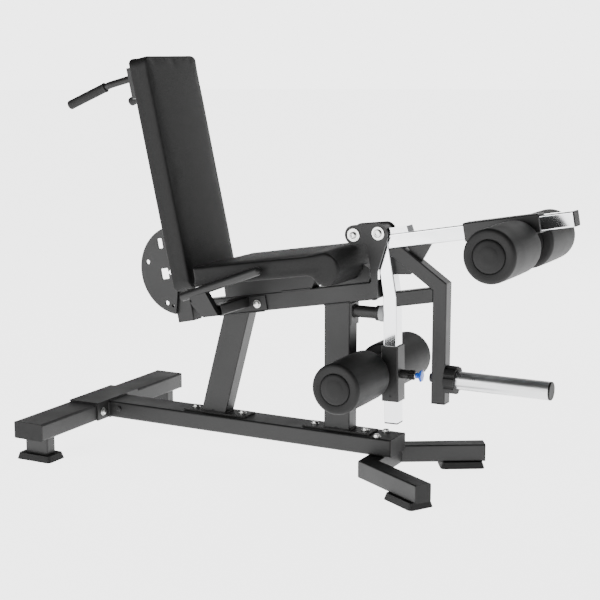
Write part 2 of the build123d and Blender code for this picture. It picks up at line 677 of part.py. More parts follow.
def lower_pin():
    """Sprung pull pin with a flared knob, pointing forward. Its tip stops just short of the bar."""
    x = lower_bar_x(300) + 24
    front = Plane(origin=(x, 0, HORN_Z), x_dir=(0, 1, 0), z_dir=(1, 0, 0))
    shaft = extrude(front.offset(-3.2) * Circle(PIN_R), amount=49.2)
    profile = [(0, 26), (13, 26), (13, 27.5), (9, 31), (11, 46), (17, 60), (14, 64), (0, 64)]
    knob = revolve(Plane.XZ * outline(profile), axis=Axis.Z)
    return shaft + Plane(origin=(x, 0, HORN_Z), z_dir=(1, 0, 0)) * knob


def upper_pin():
    """The same pull pin on the upper sleeve's left side."""
    spot = on_lever(UPPER_T[0] + 56, -CURL_DROP)
    profile = [(0, 51), (13, 51), (13, 52.5), (9, 56), (11, 71), (17, 85), (14, 89), (0, 89)]
    knob = revolve(Plane.XZ * outline(profile), axis=Axis.Z)
    side = Plane(origin=(spot[0], 0, spot[1]), z_dir=(0, 1, 0))
    return rod(spot, PIN_R, BAR / 2 + 1, 70) + side * knob


def roller_foam(point, side):
    low, high = sorted((side * ROLLER_IN, side * ROLLER_OUT))
    foam = rod(point, ROLLER_R, low, high)
    foam = fillet(foam.edges().filter_by(GeomType.CIRCLE), 9)
    return foam - rod(point, HUB_R, low - 1, high + 1)


def roller_hub(point, side):
    """Plastic core with a flange disc at each end, running on the axle."""
    low, high = sorted((side * ROLLER_IN, side * ROLLER_OUT))
    core = rod(point, HUB_R, low, high) - rod(point, HUB_R - 3, low + 6, high - 6)
    core = core + rod(point, ROLLER_AXLE_R + 4, low, high)
    return core - rod(point, ROLLER_AXLE_R + RUN_FIT, low - 1, high + 1)


def build():
    parts = {
        "rear_cross_beam": bolt_space(rear_cross_beam()),
        "rear_posts": rear_posts(),
        "rear_foot_pads": rear_foot_pads(),
        "saddle_plate": bolt_space(saddle_plate()),
        "main_beam": bolt_space(main_beam()),
        "front_foot": bolt_space(front_foot()),
        "front_foot_pads": front_foot_pads(),
        "frame_end_caps": frame_end_caps(),
        "frame_bolts": frame_bolts(),
        "rear_upright": bolt_space(rear_upright()),
        "front_upright": bolt_space(front_upright()),
        "seat_rail": bolt_space(seat_rail()),
        "rail_side_plates": [bolt_space(plate) for plate in rail_side_plates()],
        "right_pivot_plate": pivot_plate(-1),
        "left_pivot_plate": pivot_plate(1),
        "pivot_washers": pivot_washers(),
        "tie_bolt": tie_bolt(),
        "tie_spacer": tie_spacer(),
        "lever_axle": lever_axle(),
        "seat_support": seat_support(),
        "seat_board": seat_board(),
        "seat_pad": seat_pad(),
        "right_seat_handle": seat_handle(-1),
        "left_seat_handle": seat_handle(1),
        "bumper_bracket": bumper_bracket(),
        "bumper_pad": bumper_pad(),
        "recline_post": recline_post(),
        "recline_axle": recline_axle(),
        "recline_pin": recline_pin(),
        "recline_plate": recline_plate(),
        "recline_side_plate": recline_side_plate(),
        "backrest_bar": backrest_bar(),
        "backrest_board": backrest_board(),
        "backrest_pad": backrest_pad(),
        "handle_crossbar": handle_crossbar(),
        "right_back_handle": back_handle(-1),
        "left_back_handle": back_handle(1),
        "back_handle_grips": back_handle_grips(),
        "pivot_barrel": pivot_barrel(),
        "curl_bar": curl_bar(),
        "extension_bar": extension_bar(),
        "weight_arm": weight_arm(),
        "lever_end_caps": lever_end_caps(),
        "weight_horn": weight_horn(),
        "horn_collar": horn_collar(),
        "horn_bolt": horn_bolt(),
        "lower_sleeve": lower_sleeve(),
        "lower_axle": roller_axle(LOWER_ROLLER),
        "lower_pin": lower_pin(),
        "upper_sleeve": upper_sleeve(),
        "upper_axle": roller_axle(UPPER_ROLLER),
        "upper_pin": upper_pin(),
    }
    for name, point in (("lower", LOWER_ROLLER), ("upper", UPPER_ROLLER)):
        for side_name, side in (("right", -1), ("left", 1)):
            parts[f"{name}_{side_name}_foam"] = roller_foam(point, side)
            parts[f"{name}_{side_name}_hub"] = roller_hub(point, side)
    return parts


def origin_x():
    """Middle of the machine's length, from the rear feet to the curl bar's end cap."""
    front = on_lever(CURL_END + CAP, -CURL_DROP - BAR / 2)[0]
    return (front - REAR_PAD / 2) / 2


def main():
    """Write every part in the machine's frame: the middle of its length and width, on the floor."""
    os.makedirs("parts", exist_ok=True)
    shift = Pos(-origin_x(), 0, 0)
    for name, shape in build().items():
        solids = shape if isinstance(shape, list) else [shape]
        flat = [shift * solid for item in solids for solid in item.solids()]
        export_step(Compound(children=flat) if len(flat) > 1 else flat[0], f"parts/{name}.step")


main()
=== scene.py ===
import json
import math

import bmesh
import bpy
import numpy as np
from bpy.props import FloatProperty, FloatVectorProperty, PointerProperty
from mathutils import Matrix, Vector


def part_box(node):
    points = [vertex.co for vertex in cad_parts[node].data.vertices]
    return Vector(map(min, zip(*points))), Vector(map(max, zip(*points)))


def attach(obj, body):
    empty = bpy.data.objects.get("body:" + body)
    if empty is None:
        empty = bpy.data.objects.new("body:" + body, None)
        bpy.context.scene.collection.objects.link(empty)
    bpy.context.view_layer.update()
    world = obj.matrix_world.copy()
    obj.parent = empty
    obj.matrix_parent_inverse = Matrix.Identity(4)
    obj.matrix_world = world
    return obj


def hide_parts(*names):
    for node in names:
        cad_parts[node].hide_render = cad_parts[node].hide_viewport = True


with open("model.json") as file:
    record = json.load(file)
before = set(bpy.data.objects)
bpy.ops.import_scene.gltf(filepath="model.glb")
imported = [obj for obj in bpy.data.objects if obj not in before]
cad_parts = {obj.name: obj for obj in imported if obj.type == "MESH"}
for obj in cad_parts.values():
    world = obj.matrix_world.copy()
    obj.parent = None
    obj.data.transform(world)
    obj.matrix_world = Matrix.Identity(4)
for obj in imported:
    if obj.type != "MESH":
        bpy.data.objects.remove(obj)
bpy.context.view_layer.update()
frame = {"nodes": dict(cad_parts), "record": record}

# Leg extension and leg curl machine: cushions, rollers, fasteners, welds and finishes round the
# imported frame. Lengths are millimetres until a mesh is written. +X is forward, +Y the user's left,
# +Z up. X is counted from the rear cross beam's middle and moved by FRAME_X into the frame's place.

bl_info = {
    "name": "Leg Extension Machine",
    "version": (1, 0, 0),
    "blender": (4, 5, 0),
    "location": "View3D > Sidebar > Machine",
    "description": "Upholstery, rollers, fasteners and finishes for a leg extension machine",
    "category": "Object",
}

FRAME_X = 717.054
TILT = math.radians(10.0)        # seat rail and curl bar
SEAT_TILT = math.radians(9.2)
BACK_TILT = math.radians(12.4)
SEAT_AT = (433.0, 578.0)         # top rear edge of the seat
SEAT_LENGTH, SEAT_HALF, SEAT_THICK, ROLL = 421.0, 170.0, 57.0, 46.0
RAIL_AT = (783.5, 476.5)         # a point on the rail's underside
RECLINE = (306.0, 540.0)         # backrest pivot
BACK_LOW, BACK_HIGH, BACK_HALF = -58.0, 616.0, 138.0
BACK_REAR, BACK_FRONT = 38.9, 101.9
AXLE, TIE = (950.0, 689.0), (876.0, 680.0)
LATCH = (306.0 + 109.8 * math.cos(math.radians(258.9)), 540.0 + 109.8 * math.sin(math.radians(258.9)))
HORN_Z = 298.5
SEAT_CORNER_SHARE = 0.4          # the seat's plan corners are tighter than the backrest's
BASE_BOLT_X = (342.0, 502.0, 743.0, 903.0)
RAIL_BOLTS = ((570.0, 462.0), (443.0, 440.0))
M10_FLATS, M10_HEAD, M10_WASHER, M10_SHANK = 8.2, 5.6, 12.0, 5.0


# ---- colours and nodes ----
def linear(code):
    """Linear RGBA of an sRGB hex colour."""
    value = np.array([int(code[k:k + 2], 16) / 255.0 for k in (1, 3, 5)])
    value = np.where(value <= 0.04045, value / 12.92, ((value + 0.055) / 1.055) ** 2.4)
    return (*value.tolist(), 1.0)


def per(size):
    """Texture scale whose features are this many millimetres across."""
    return 1000.0 / size


def shade(colour, factor):
    """The colour made darker or lighter by a factor."""
    return (*[min(1.0, c * factor) for c in colour[:3]], 1.0)


def add(tree, kind, inputs=None, **settings):
    """Add a node. Each input is a value, or a (node, output) pair to link."""
    node = tree.nodes.new("ShaderNode" + kind)
    for name, value in settings.items():
        setattr(node, name, value)
    for name, value in (inputs or {}).items():
        if isinstance(value, tuple) and isinstance(value[0], bpy.types.Node):
            tree.links.new(value[0].outputs[value[1]], node.inputs[name])
        else:
            node.inputs[name].default_value = value
    return node


class Finish:
    """A named material. The constants stand on the shader's own sockets, and the methods draw the
    patterns that most finishes share."""

    def __init__(self, name, base, roughness, metallic=0.0, **constants):
        self.base = base
        self.material = bpy.data.materials.new(name)
        self.material.use_nodes = True
        self.material.diffuse_color = base
        self.tree = self.material.node_tree
        self.shader = self.tree.nodes["Principled BSDF"]
        constants = {"Base Color": base, "Roughness": roughness, "Metallic": metallic, **constants}
        for socket, value in constants.items():
            self.shader.inputs[socket.replace("_", " ")].default_value = value
        self.where = (add(self.tree, "TexCoord"), "Object")

    def link(self, source, socket):
        node, output = source
        self.tree.links.new(node.outputs[output], self.shader.inputs[socket])

    def noise(self, size, detail, **extra):
        """Noise whose features are this many millimetres across."""
        inputs = {"Vector": self.where, "Scale": per(size), "Detail": detail, **extra}
        return add(self.tree, "TexNoise", inputs), "Fac"

    def mix(self, factor, low, high):
        return add(self.tree, "Mix", {"Factor": factor, "A": low, "B": high}, data_type="RGBA"), "Result"

    def drift(self, cloud, colours=None, gloss=None, span=(0.0, 1.0)):
        """Let a pattern carry the colour and the roughness between two ends."""
        if colours:
            self.link(self.mix(cloud, *colours), "Base Color")
        if gloss:
            inputs = {"Value": cloud, "From Min": span[0], "From Max": span[1],
                      "To Min": gloss[0], "To Max": gloss[1]}
            self.link((add(self.tree, "MapRange", inputs), "Result"), "Roughness")

    def shades(self, low, high):
        return shade(self.base, low), shade(self.base, high)

    def relief(self, height, strength, depth):
        """Bump from a pattern, with its depth in metres."""
        inputs = {"Height": height, "Strength": strength, "Distance": depth}
        self.link((add(self.tree, "Bump", inputs), "Normal"), "Normal")


def powder_coat(look):
    """Polyester powder coat baked on steel: satin black with an orange-peel skin."""
    coat = Finish("powder_coat_satin_black", tuple(look.coat_colour), 0.44, Specular_IOR_Level=0.3)
    # orange peel is about 1.5 mm across; drawn at 3 mm so that it shows
    peel = coat.noise(3.0, 2.0)
    speck = add(coat.tree, "TexVoronoi", {"Vector": coat.where, "Scale": per(5.0)})
    grain = add(coat.tree, "Math", {0: (speck, "Distance"), 1: peel}, operation="ADD")
    coat.drift(coat.noise(140.0, 4.0), coat.shades(0.82, 1.2), (0.38, 0.52), (0.3, 0.7))
    coat.relief((grain, "Value"), 0.16, 0.0006)
    return coat.material


def upholstery_vinyl(look):
    """PVC-coated upholstery vinyl with an embossed hide grain: matte black, lighter where it is stretched,
    with painted shade darkening the grain's creases.
    """
    vinyl = Finish("upholstery_vinyl_matte_black", tuple(look.vinyl_colour), 0.56,
                   Specular_IOR_Level=0.22, Sheen_Weight=0.01)
    tree, warp = vinyl.tree, vinyl.noise(16.0, 2.0)[0]
    bent = add(tree, "Mix", {"Factor": 0.012, "A": vinyl.where, "B": (warp, "Color")}, data_type="VECTOR")
    # hide grain has cells about 1.2 mm across; drawn at 2.6 mm so that it shows
    cells = add(tree, "TexVoronoi", {"Vector": (bent, "Result"), "Scale": per(2.6)},
                feature="DISTANCE_TO_EDGE")
    edges = {"Value": (cells, "Distance"), "From Min": 0.0, "From Max": 0.22}
    grain_crease_and_shade = (add(tree, "MapRange", edges), "Result")
    worn = vinyl.mix(vinyl.noise(90.0, 3.0), *vinyl.shades(0.86, 1.16))
    # the grain's creases are painted darker, at 0.74 of the base: painted shade in the creases; the cloud
    # between them is the vinyl's own tone
    vinyl.drift(grain_crease_and_shade, (shade(vinyl.base, 0.74), worn), (0.68, 0.54))
    vinyl.relief(grain_crease_and_shade, 0.22, 0.0005)
    return vinyl.material


def roller_skin(look):
    """Integral-skin polyurethane foam, moulded: a soft matte black with a fine pebbled surface."""
    skin = Finish("moulded_foam_skin_black", shade(tuple(look.vinyl_colour), 1.08), 0.6,
                  Specular_IOR_Level=0.22, Sheen_Weight=0.01)
    skin.drift(skin.noise(60.0, 3.0), skin.shades(0.85, 1.18), (0.52, 0.7))
    # pebbles about 0.8 mm across, drawn at 2 mm
    skin.relief(skin.noise(2.0, 3.0, Roughness=0.6), 0.18, 0.0005)
    return skin.material


def chrome_plate(look):
    """Bright nickel-chrome plate on cold-drawn tube: a near mirror with a faint drawn wave along it."""
    chrome = Finish("bright_chrome_plate", tuple(look.chrome_colour), 0.09, 1.0)
    # drawing leaves waves some 60 mm long, and polishing leaves hairlines drawn here at 1 mm
    chrome.drift(chrome.noise(1.0, 2.0), gloss=(0.06, 0.14))
    chrome.relief(chrome.noise(60.0, 1.0), 0.2, 0.002)
    return chrome.material


def turned_steel(look):
    """Steel tube turned in a lathe and satin plated: fine rings round it that spread the highlight."""
    steel = Finish("turned_satin_steel", linear("#c9cacb"), 0.3, 1.0)
    # tool rings are about 0.3 mm apart; drawn at 1.6 mm. A wave texture has 20 / 2 pi bands a unit
    bands = {"Vector": steel.where, "Scale": per(1.6) / 20.0 * 6.283 / 2.0, "Distortion": 0.6, "Detail": 2.0}
    rings = add(steel.tree, "TexWave", bands, wave_type="BANDS", bands_direction="X")
    steel.drift(steel.noise(30.0, 3.0), gloss=(0.22, 0.38))
    steel.relief((rings, "Fac"), 0.1, 0.0003)
    return steel.material


def zinc_plate(look):
    """Bright zinc plate on bolts and washers: pale grey metal, a little cloudy from the passivation."""
    zinc = Finish("bright_zinc_plate", linear("#d2d3d2"), 0.3, 1.0)
    zinc.drift(zinc.noise(4.0, 4.0), (linear("#b9bcbd"), linear("#e4e3df")), (0.2, 0.42))
    return zinc.material


def black_oxide(look):
    """Black-oxide steel on the dark bolt heads: oily dark grey with a soft sheen."""
    oxide = Finish("black_oxide_steel", linear("#2c2c2d"), 0.38, 0.7)
    oxide.drift(oxide.noise(3.0, 3.0), (linear("#1f1f20"), linear("#3d3d3e")), (0.28, 0.5))
    return oxide.material


def moulded_rubber(look):
    """Vulcanised rubber for feet, grips and the horn's stop ring: dull black, faintly grey with dust."""
    rubber = Finish("moulded_rubber_black", linear("#131313"), 0.74, Specular_IOR_Level=0.35)
    rubber.drift(rubber.noise(45.0, 3.0), rubber.shades(0.8, 1.3), (0.62, 0.84))
    # mould texture about 0.7 mm across, drawn at 1.8 mm
    rubber.relief(rubber.noise(1.8, 4.0), 0.3, 0.0005)
    return rubber.material


def moulded_plastic(look):
    """Injection-moulded polypropylene for end caps, roller caps and knobs: spark-etched satin black."""
    plastic = Finish("moulded_polypropylene_black", linear("#141414"), 0.56, Specular_IOR_Level=0.2)
    plastic.drift(plastic.noise(25.0, 3.0), plastic.shades(0.88, 1.15), (0.48, 0.64))
    # spark-etched mould texture is 0.2 mm across; drawn at 1.2 mm
    plastic.relief(plastic.noise(1.2, 2.0), 0.15, 0.0003)
    return plastic.material


def knob_plastic(look):
    """Injection-moulded ABS for the pull knobs: bright blue and glossy, a little cloudy at the gate."""
    knob = Finish("glossy_abs_blue", tuple(look.knob_colour), 0.3, Coat_Weight=0.25, Coat_Roughness=0.12)
    knob.drift(knob.noise(8.0, 3.0), knob.shades(0.85, 1.15), (0.24, 0.4))
    return knob.material


def bumper_urethane(look):
    """Cast polyurethane for the lever's stop: mid grey, dull, with fine casting pits."""
    grey = Finish("cast_urethane_grey", linear("#8e8f90"), 0.6)
    pits = add(grey.tree, "TexVoronoi", {"Vector": grey.where, "Scale": per(1.6)})
    grey.drift(grey.noise(14.0, 4.0), grey.shades(0.86, 1.1))
    grey.relief((pits, "Distance"), 0.2, 0.0004)
    return grey.material


def dust_cover_cloth(look):
    """Spunbonded polypropylene dust cover: thin matte black felt, point-bonded in a fine diamond grid."""
    cloth = Finish("spunbond_dust_cover", linear("#1d1d1e"), 0.9, Specular_IOR_Level=0.25)
    turned = add(cloth.tree, "Mapping", {"Vector": cloth.where, "Rotation": (0.6, 0.78, 0.6)})
    # bonding points are 1 mm apart; drawn at 2.4 mm
    grid = {"Vector": (turned, "Vector"), "Scale": per(2.4), "Randomness": 0.1}
    points = add(cloth.tree, "TexVoronoi", grid)
    cloth.drift(cloth.noise(6.0, 5.0), cloth.shades(0.7, 1.5))
    cloth.relief((points, "Distance"), 0.3, 0.0004)
    return cloth.material


def birch_plywood(look):
    """Birch plywood seat and back boards: pale tan with long grain, darker plies across the edge."""
    wood = Finish("birch_plywood", linear("#a98a63"), 0.66)
    stretch = add(wood.tree, "Mapping", {"Vector": wood.where, "Scale": (0.12, 1.0, 0.12)})
    # grain lines drawn 3 mm apart
    grain = wood.noise(3.0, 5.0, Vector=(stretch, "Vector"), Distortion=0.8)
    wood.drift(grain, (linear("#8a6b48"), linear("#c2a47a")))
    wood.relief(grain, 0.2, 0.0004)
    return wood.material


def studio_floor(look):
    """Plain pale painted floor, lit from beneath so that it meets the wall without a line."""
    paint = Finish("pale_floor_paint", linear("#f2f2f2"), 0.9, Specular_IOR_Level=0.05,
                   Emission_Color=(1.0, 1.0, 1.0, 1.0), Emission_Strength=0.9 * look.sky)
    return paint.material


FINISHES = {
    "coat": powder_coat, "vinyl": upholstery_vinyl, "skin": roller_skin, "chrome": chrome_plate,
    "steel": turned_steel, "zinc": zinc_plate, "oxide": black_oxide, "rubber": moulded_rubber,
    "plastic": moulded_plastic, "knob": knob_plastic, "urethane": bumper_urethane,
    "plywood": birch_plywood, "cloth": dust_cover_cloth, "floor": studio_floor,
}
MADE = {}


def material_of(key):
    """The finish of that name, made once."""
    if key not in MADE:
        MADE[key] = FINISHES[key](bpy.context.scene.leg_machine)
    return MADE[key]


# ---- surfaces ----
def place(points):
    """Points counted from the rear cross beam, moved to the frame's place."""
    return np.asarray(points, float) - np.array([FRAME_X, 0.0, 0.0])


def tilted(origin, angle, along, across, sideways):
    """Points from lengths along and across a direction that rises forward by the angle."""
    x = origin[0] + along * math.cos(angle) - across * math.sin(angle)
    z = origin[1] + along * math.sin(angle) + across * math.cos(angle)
    return np.stack(np.broadcast_arrays(x, sideways, z), -1)


def lathe(profile, origin, axis, count=64, lobes=0):
    """Surface of revolution. A profile row is (length along the axis, radius, flats, lobe depth): the
    radius is cut back to a hexagon with that half width across flats, and swells as a cosine."""
    rows = np.array([tuple(row) + (0.0,) * (4 - len(row)) for row in profile])
    turn = np.linspace(0.0, 2 * math.pi, count, endpoint=False)
    radius = rows[:, 1:2] * np.ones(count)
    flat = rows[:, 2:3] / np.cos(np.mod(turn, math.pi / 3) - math.pi / 6)
    radius = np.where(rows[:, 2:3] > 0, np.minimum(radius, flat), radius)
    radius = radius * (1.0 + rows[:, 3:4] * np.cos(lobes * turn))
    axis = np.array(axis, float) / np.linalg.norm(axis)
    side = np.cross(axis, (0.0, 0.0, 1.0) if abs(axis[2]) < 0.9 else (0.0, 1.0, 0.0))
    side /= np.linalg.norm(side)
    up = np.cross(axis, side)
    ring = np.cos(turn)[:, None] * side + np.sin(turn)[:, None] * up
    return np.array(origin, float) + rows[:, 0][:, None, None] * axis + radius[..., None] * ring


def bead(corners, radius, closed, normal, pitch=3.0):
    """Weld bead: a circle carried along straight runs, whose radius ripples as a cosine of the length."""
    path = np.array(corners, float)
    if closed:
        path = np.vstack([path, path[:1]])
    run = np.concatenate([[0.0], np.cumsum(np.linalg.norm(np.diff(path, axis=0), axis=1))])
    count = max(8, int(run[-1] / 1.2))
    at = np.linspace(0.0, run[-1], count, endpoint=not closed)
    middle = np.stack([np.interp(at, run, path[:, k]) for k in range(3)], -1)
    if closed:
        ahead = np.roll(middle, -2, 0) - np.roll(middle, 2, 0)
    else:
        ahead = np.gradient(middle, axis=0)
    ahead /= np.linalg.norm(ahead, axis=1, keepdims=True)
    normal = np.array(normal, float) / np.linalg.norm(normal)
    side = np.cross(ahead, normal)
    side /= np.linalg.norm(side, axis=1, keepdims=True)
    size = radius * (1.0 + 0.13 * np.cos(2 * math.pi * at / pitch))
    if not closed:
        size = size * np.sqrt(np.clip(np.minimum(at, run[-1] - at) / radius, 0.0, 1.0))
    turn = np.linspace(0.0, 2 * math.pi, 10, endpoint=False)
    ring = np.cos(turn)[None, :, None] * normal + np.sin(turn)[None, :, None] * side[:, None, :]
    return middle[:, None, :] + size[:, None, None] * ring


def grid_faces(rows, columns, wrap_rows, wrap_columns):
    """Quads of a grid of points, as index rows."""
    r = np.arange(rows if wrap_rows else rows - 1)
    c = np.arange(columns if wrap_columns else columns - 1)
    r, c = np.meshgrid(r, c, indexing="ij")
    r, c = r.ravel(), c.ravel()
    r2, c2 = (r + 1) % rows, (c + 1) % columns
    return np.stack([r * columns + c, r * columns + c2, r2 * columns + c2, r2 * columns + c], -1)


def piece(name, body, parts, replaces=(), sharp=38.0, closed=True):
    """One object from surfaces. A part is (grid of points, wraps along rows, finish), or with a mesh's
    own quads in place of the wrap. Doubles are merged and closed shells turned outwards."""
    points, quads, marks, finishes, start = [], [], [], [], 0
    for grid, wrap, key in parts:
        if key not in finishes:
            finishes.append(key)
        flat = np.asarray(grid).reshape(-1, 3)
        if isinstance(wrap, np.ndarray):
            faces = wrap
        else:
            faces = grid_faces(grid.shape[0], grid.shape[1], wrap, True)
        points.append(flat)
        quads.append(faces + start)
        marks.append(np.full(len(faces), finishes.index(key)))
        start += len(flat)
    mesh = bpy.data.meshes.new(name)
    mesh.from_pydata((np.vstack(points) / 1000.0).tolist(), [], np.vstack(quads).tolist())
    mesh.polygons.foreach_set("material_index", np.concatenate(marks).astype(np.int32))
    for key in finishes:
        mesh.materials.append(material_of(key))
    shell = bmesh.new()
    shell.from_mesh(mesh)
    bmesh.ops.remove_doubles(shell, verts=shell.verts, dist=1e-6)
    if closed:
        bmesh.ops.recalc_face_normals(shell, faces=shell.faces)
    shell.to_mesh(mesh)
    shell.free()
    mesh.shade_smooth()
    mesh.set_sharp_from_angle(angle=math.radians(sharp))
    obj = bpy.data.objects.new(name, mesh)
    bpy.context.scene.collection.objects.link(obj)
    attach(obj, body)
    if replaces:
        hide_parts(*replaces)
    return obj


# ---- upholstered pads ----
def along_curve(points, at):
    """Points at fractions of a polyline's length."""
    points = np.array(points, float)
    run = np.concatenate([[0.0], np.cumsum(np.linalg.norm(np.diff(points, axis=0), axis=1))])
    return np.stack([np.interp(np.asarray(at) * run[-1], run, points[:, k]) for k in (0, 1)], -1)


def arc(centre, radius, start, end, count=24):
    """Points on a circle between two angles in degrees."""
    turn = np.radians(np.linspace(start, end, count))
    return np.stack([centre[0] + radius * np.cos(turn), centre[1] + radius * np.sin(turn)], -1)


def eased(count, crowd):
    """Fractions from 0 to 1, crowded towards both ends."""
    t = np.linspace(0.0, 1.0, count + 1)
    return t - crowd * np.sin(2 * math.pi * t) / (2 * math.pi)


def coons(curves, u, v):
    """Coons patch: each point is the blend of the rear and front curves at v and the low and high
    curves at u, less the blend of the four corners."""
    low, high, rear, front = curves
    shape = np.broadcast_shapes(u.shape, v.shape)
    u, v = np.broadcast_to(u, shape), np.broadcast_to(v, shape)
    a, b = along_curve(low, u.ravel()), along_curve(high, u.ravel())
    c, d = along_curve(rear, v.ravel()), along_curve(front, v.ravel())
    fu, fv = u.ravel()[:, None], v.ravel()[:, None]
    p00, p10 = np.array(low[0]), np.array(low[-1])
    p01, p11 = np.array(high[0]), np.array(high[-1])
    blend = (1 - fv) * a + fv * b + (1 - fu) * c + fu * d
    corner = (1 - fu) * (1 - fv) * p00 + fu * (1 - fv) * p10 + (1 - fu) * fv * p01 + fu * fv * p11
    return (blend - corner).reshape(*shape, 2)


def pad_form(curves, half, thick, length, corner, edge, steps, crown):
    """Closed pad: the six faces of a box, each a grid, mapped through a Coons patch of the pad's side
    outline. Towards either end of its width the patch draws in, by the corner radius along the pad and
    by the edge radius across it, so that plan corners and edges are quarter rounds. The upper face
    rises by the crown as one minus the square of the width. Returns the (length, thickness, width)
    points and their quads."""
    nu, nv, nw = steps
    u, v = eased(nu, 0.75), eased(nv, 0.4)
    turn = np.linspace(0.0, math.pi / 2, 9)[1:]
    flat = np.linspace(-(half - corner), half - corner, nw + 1)
    end = half - corner + corner * np.sin(turn)
    y = np.concatenate([-end[::-1], flat, end])
    over = np.clip((np.abs(y) - (half - corner)) / corner, 0.0, 1.0)
    near = np.clip((np.abs(y) - (half - edge)) / edge, 0.0, 1.0)
    ku = 1.0 - 2 * corner / length * (1.0 - np.sqrt(1.0 - over ** 2))
    kv = 1.0 - 2 * edge / thick * (1.0 - np.sqrt(1.0 - near ** 2))

    def patch(uu, vv, k):
        uu = 0.5 + (uu - 0.5) * ku[k]
        vv = 0.5 + (vv - 0.5) * kv[k]
        flat_points = coons(curves, uu, vv)
        lift = crown * (1.0 - (y[k] / half) ** 2) * np.clip(vv, 0, 1) ** 2
        lift = lift * (4 * uu * (1 - uu)) ** 0.5
        return np.stack([flat_points[..., 0], flat_points[..., 1] + lift,
                         np.broadcast_to(y[k], lift.shape)], -1)

    every = np.arange(len(y))
    faces = []
    uu, kk = np.meshgrid(u, every, indexing="ij")
    faces += [patch(uu, np.zeros_like(uu), kk), patch(uu, np.ones_like(uu), kk)]
    vv, kk = np.meshgrid(v, every, indexing="ij")
    faces += [patch(np.zeros_like(vv), vv, kk), patch(np.ones_like(vv), vv, kk)]
    uu, vv = np.meshgrid(u, v, indexing="ij")
    for k in (0, len(y) - 1):
        side = patch(uu, vv, np.full(uu.shape, k))
        swell = 16 * uu * (1 - uu) * vv * (1 - vv)
        side[..., 2] += np.sign(y[k]) * 1.6 * swell ** 0.5
        faces.append(side)
    points, quads, start = [], [], 0
    for face in faces:
        points.append(face.reshape(-1, 3))
        quads.append(grid_faces(face.shape[0], face.shape[1], False, False) + start)
        start += face.shape[0] * face.shape[1]
    return np.vstack(points), np.vstack(quads)


def inflate(obj, cap, hold):
    """Let the cover swell as cloth under pressure for 20 frames, then keep each point's move up to the
    cap, eased by a hyperbolic tangent, and none where hold is 0."""
    mesh = obj.data
    rest = np.empty(len(mesh.vertices) * 3)
    mesh.vertices.foreach_get("co", rest)
    rest = rest.reshape(-1, 3)
    cloth = obj.modifiers.new("cover", "CLOTH")
    cloth.settings.use_pressure = True
    cloth.settings.uniform_pressure_force = 4.0
    cloth.settings.tension_stiffness = 25.0
    cloth.settings.compression_stiffness = 25.0
    cloth.settings.bending_stiffness = 2.0
    cloth.settings.mass = 0.4
    cloth.settings.quality = 6
    cloth.settings.effector_weights.gravity = 0.0
    cloth.point_cache.frame_start, cloth.point_cache.frame_end = 1, 20
    scene = bpy.context.scene
    for step in range(1, 21):
        scene.frame_set(step)
    moved = np.empty(len(rest) * 3)
    swollen = obj.evaluated_get(bpy.context.evaluated_depsgraph_get()).to_mesh()
    swollen.vertices.foreach_get("co", moved)
    move = moved.reshape(-1, 3) - rest
    obj.evaluated_get(bpy.context.evaluated_depsgraph_get()).to_mesh_clear()
    obj.modifiers.remove(cloth)
    scene.frame_set(1)
    size = np.linalg.norm(move, axis=1, keepdims=True)
    if not np.isfinite(size).all():
        raise RuntimeError(f"{obj.name}: the cloth came out with no position")
    move = move * np.divide(cap * np.tanh(size / cap), size, out=np.zeros_like(size), where=size > 1e-9)
    mesh.vertices.foreach_set("co", (rest + move * hold(rest)[:, None]).ravel())
    mesh.update()


def upholster(name, body, points, quads, node, hold, cap):
    """A cushion piece from its form, swollen by the cloth and subdivided once."""
    obj = piece(name, body, [(points, quads, "vinyl")], (node,), sharp=180.0)
    inflate(obj, cap, hold)
    smooth = obj.modifiers.new("smooth", "SUBSURF")
    smooth.levels = smooth.render_levels = 1
    return obj


# ---- settings ----
def node_size(node, axis):
    """A CAD node's size along an axis, in metres."""
    low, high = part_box(node)
    return (high - low)[axis]


class MachineLook(bpy.types.PropertyGroup):
    """Colours and sizes that a user would change."""
    coat_colour: FloatVectorProperty(name="Powder coat", description="Colour of the painted steel",
                                     subtype="COLOR", size=4, min=0, max=1, default=linear("#1b1b1b"))
    vinyl_colour: FloatVectorProperty(name="Vinyl", description="Colour of the cushion covers",
                                      subtype="COLOR", size=4, min=0, max=1, default=linear("#141414"))
    chrome_colour: FloatVectorProperty(name="Chrome", description="Tint of the chrome bars",
                                       subtype="COLOR", size=4, min=0, max=1, default=linear("#e3e4e6"))
    knob_colour: FloatVectorProperty(name="Pull knobs", description="Colour of the pull knobs",
                                     subtype="COLOR", size=4, min=0, max=1, default=linear("#1d58c8"))
    crown: FloatProperty(name="Cushion crown", description="How far the cushions rise in the middle",
                         unit="LENGTH", default=0.004, min=0.0, max=0.02)
    corner: FloatProperty(name="Cushion corner", description="Radius of the cushions' plan corners",
                          unit="LENGTH", default=0.026, min=0.004, max=0.05)
    edge: FloatProperty(name="Cushion edge", description="Radius of the cushions' long edges",
                        unit="LENGTH", default=0.007, min=0.002, max=0.02)
    swell: FloatProperty(name="Cover swell", description="Most that the cover may move as it fills",
                         unit="LENGTH", default=0.003, min=0.0, max=0.02)
    roller_radius: FloatProperty(name="Roller radius", description="Radius of the foam rollers",
                                 unit="LENGTH", default=node_size("upper_right_foam", 0) / 2)
    bead_radius: FloatProperty(name="Weld bead", description="Radius of the weld beads", unit="LENGTH",
                               default=0.0024, min=0.0005, max=0.006)
    sky: FloatProperty(name="White wall", description="Strength of the lit wall beyond", default=4.0,
                       min=0.0, max=20.0)
    room: FloatProperty(name="Room light", description="Near side's brightness against the wall's",
                        subtype="FACTOR", default=0.18, min=0.0, max=1.0)
    key: FloatProperty(name="Key light", description="Power of the large soft light", unit="POWER",
                       default=110.0, min=0.0)


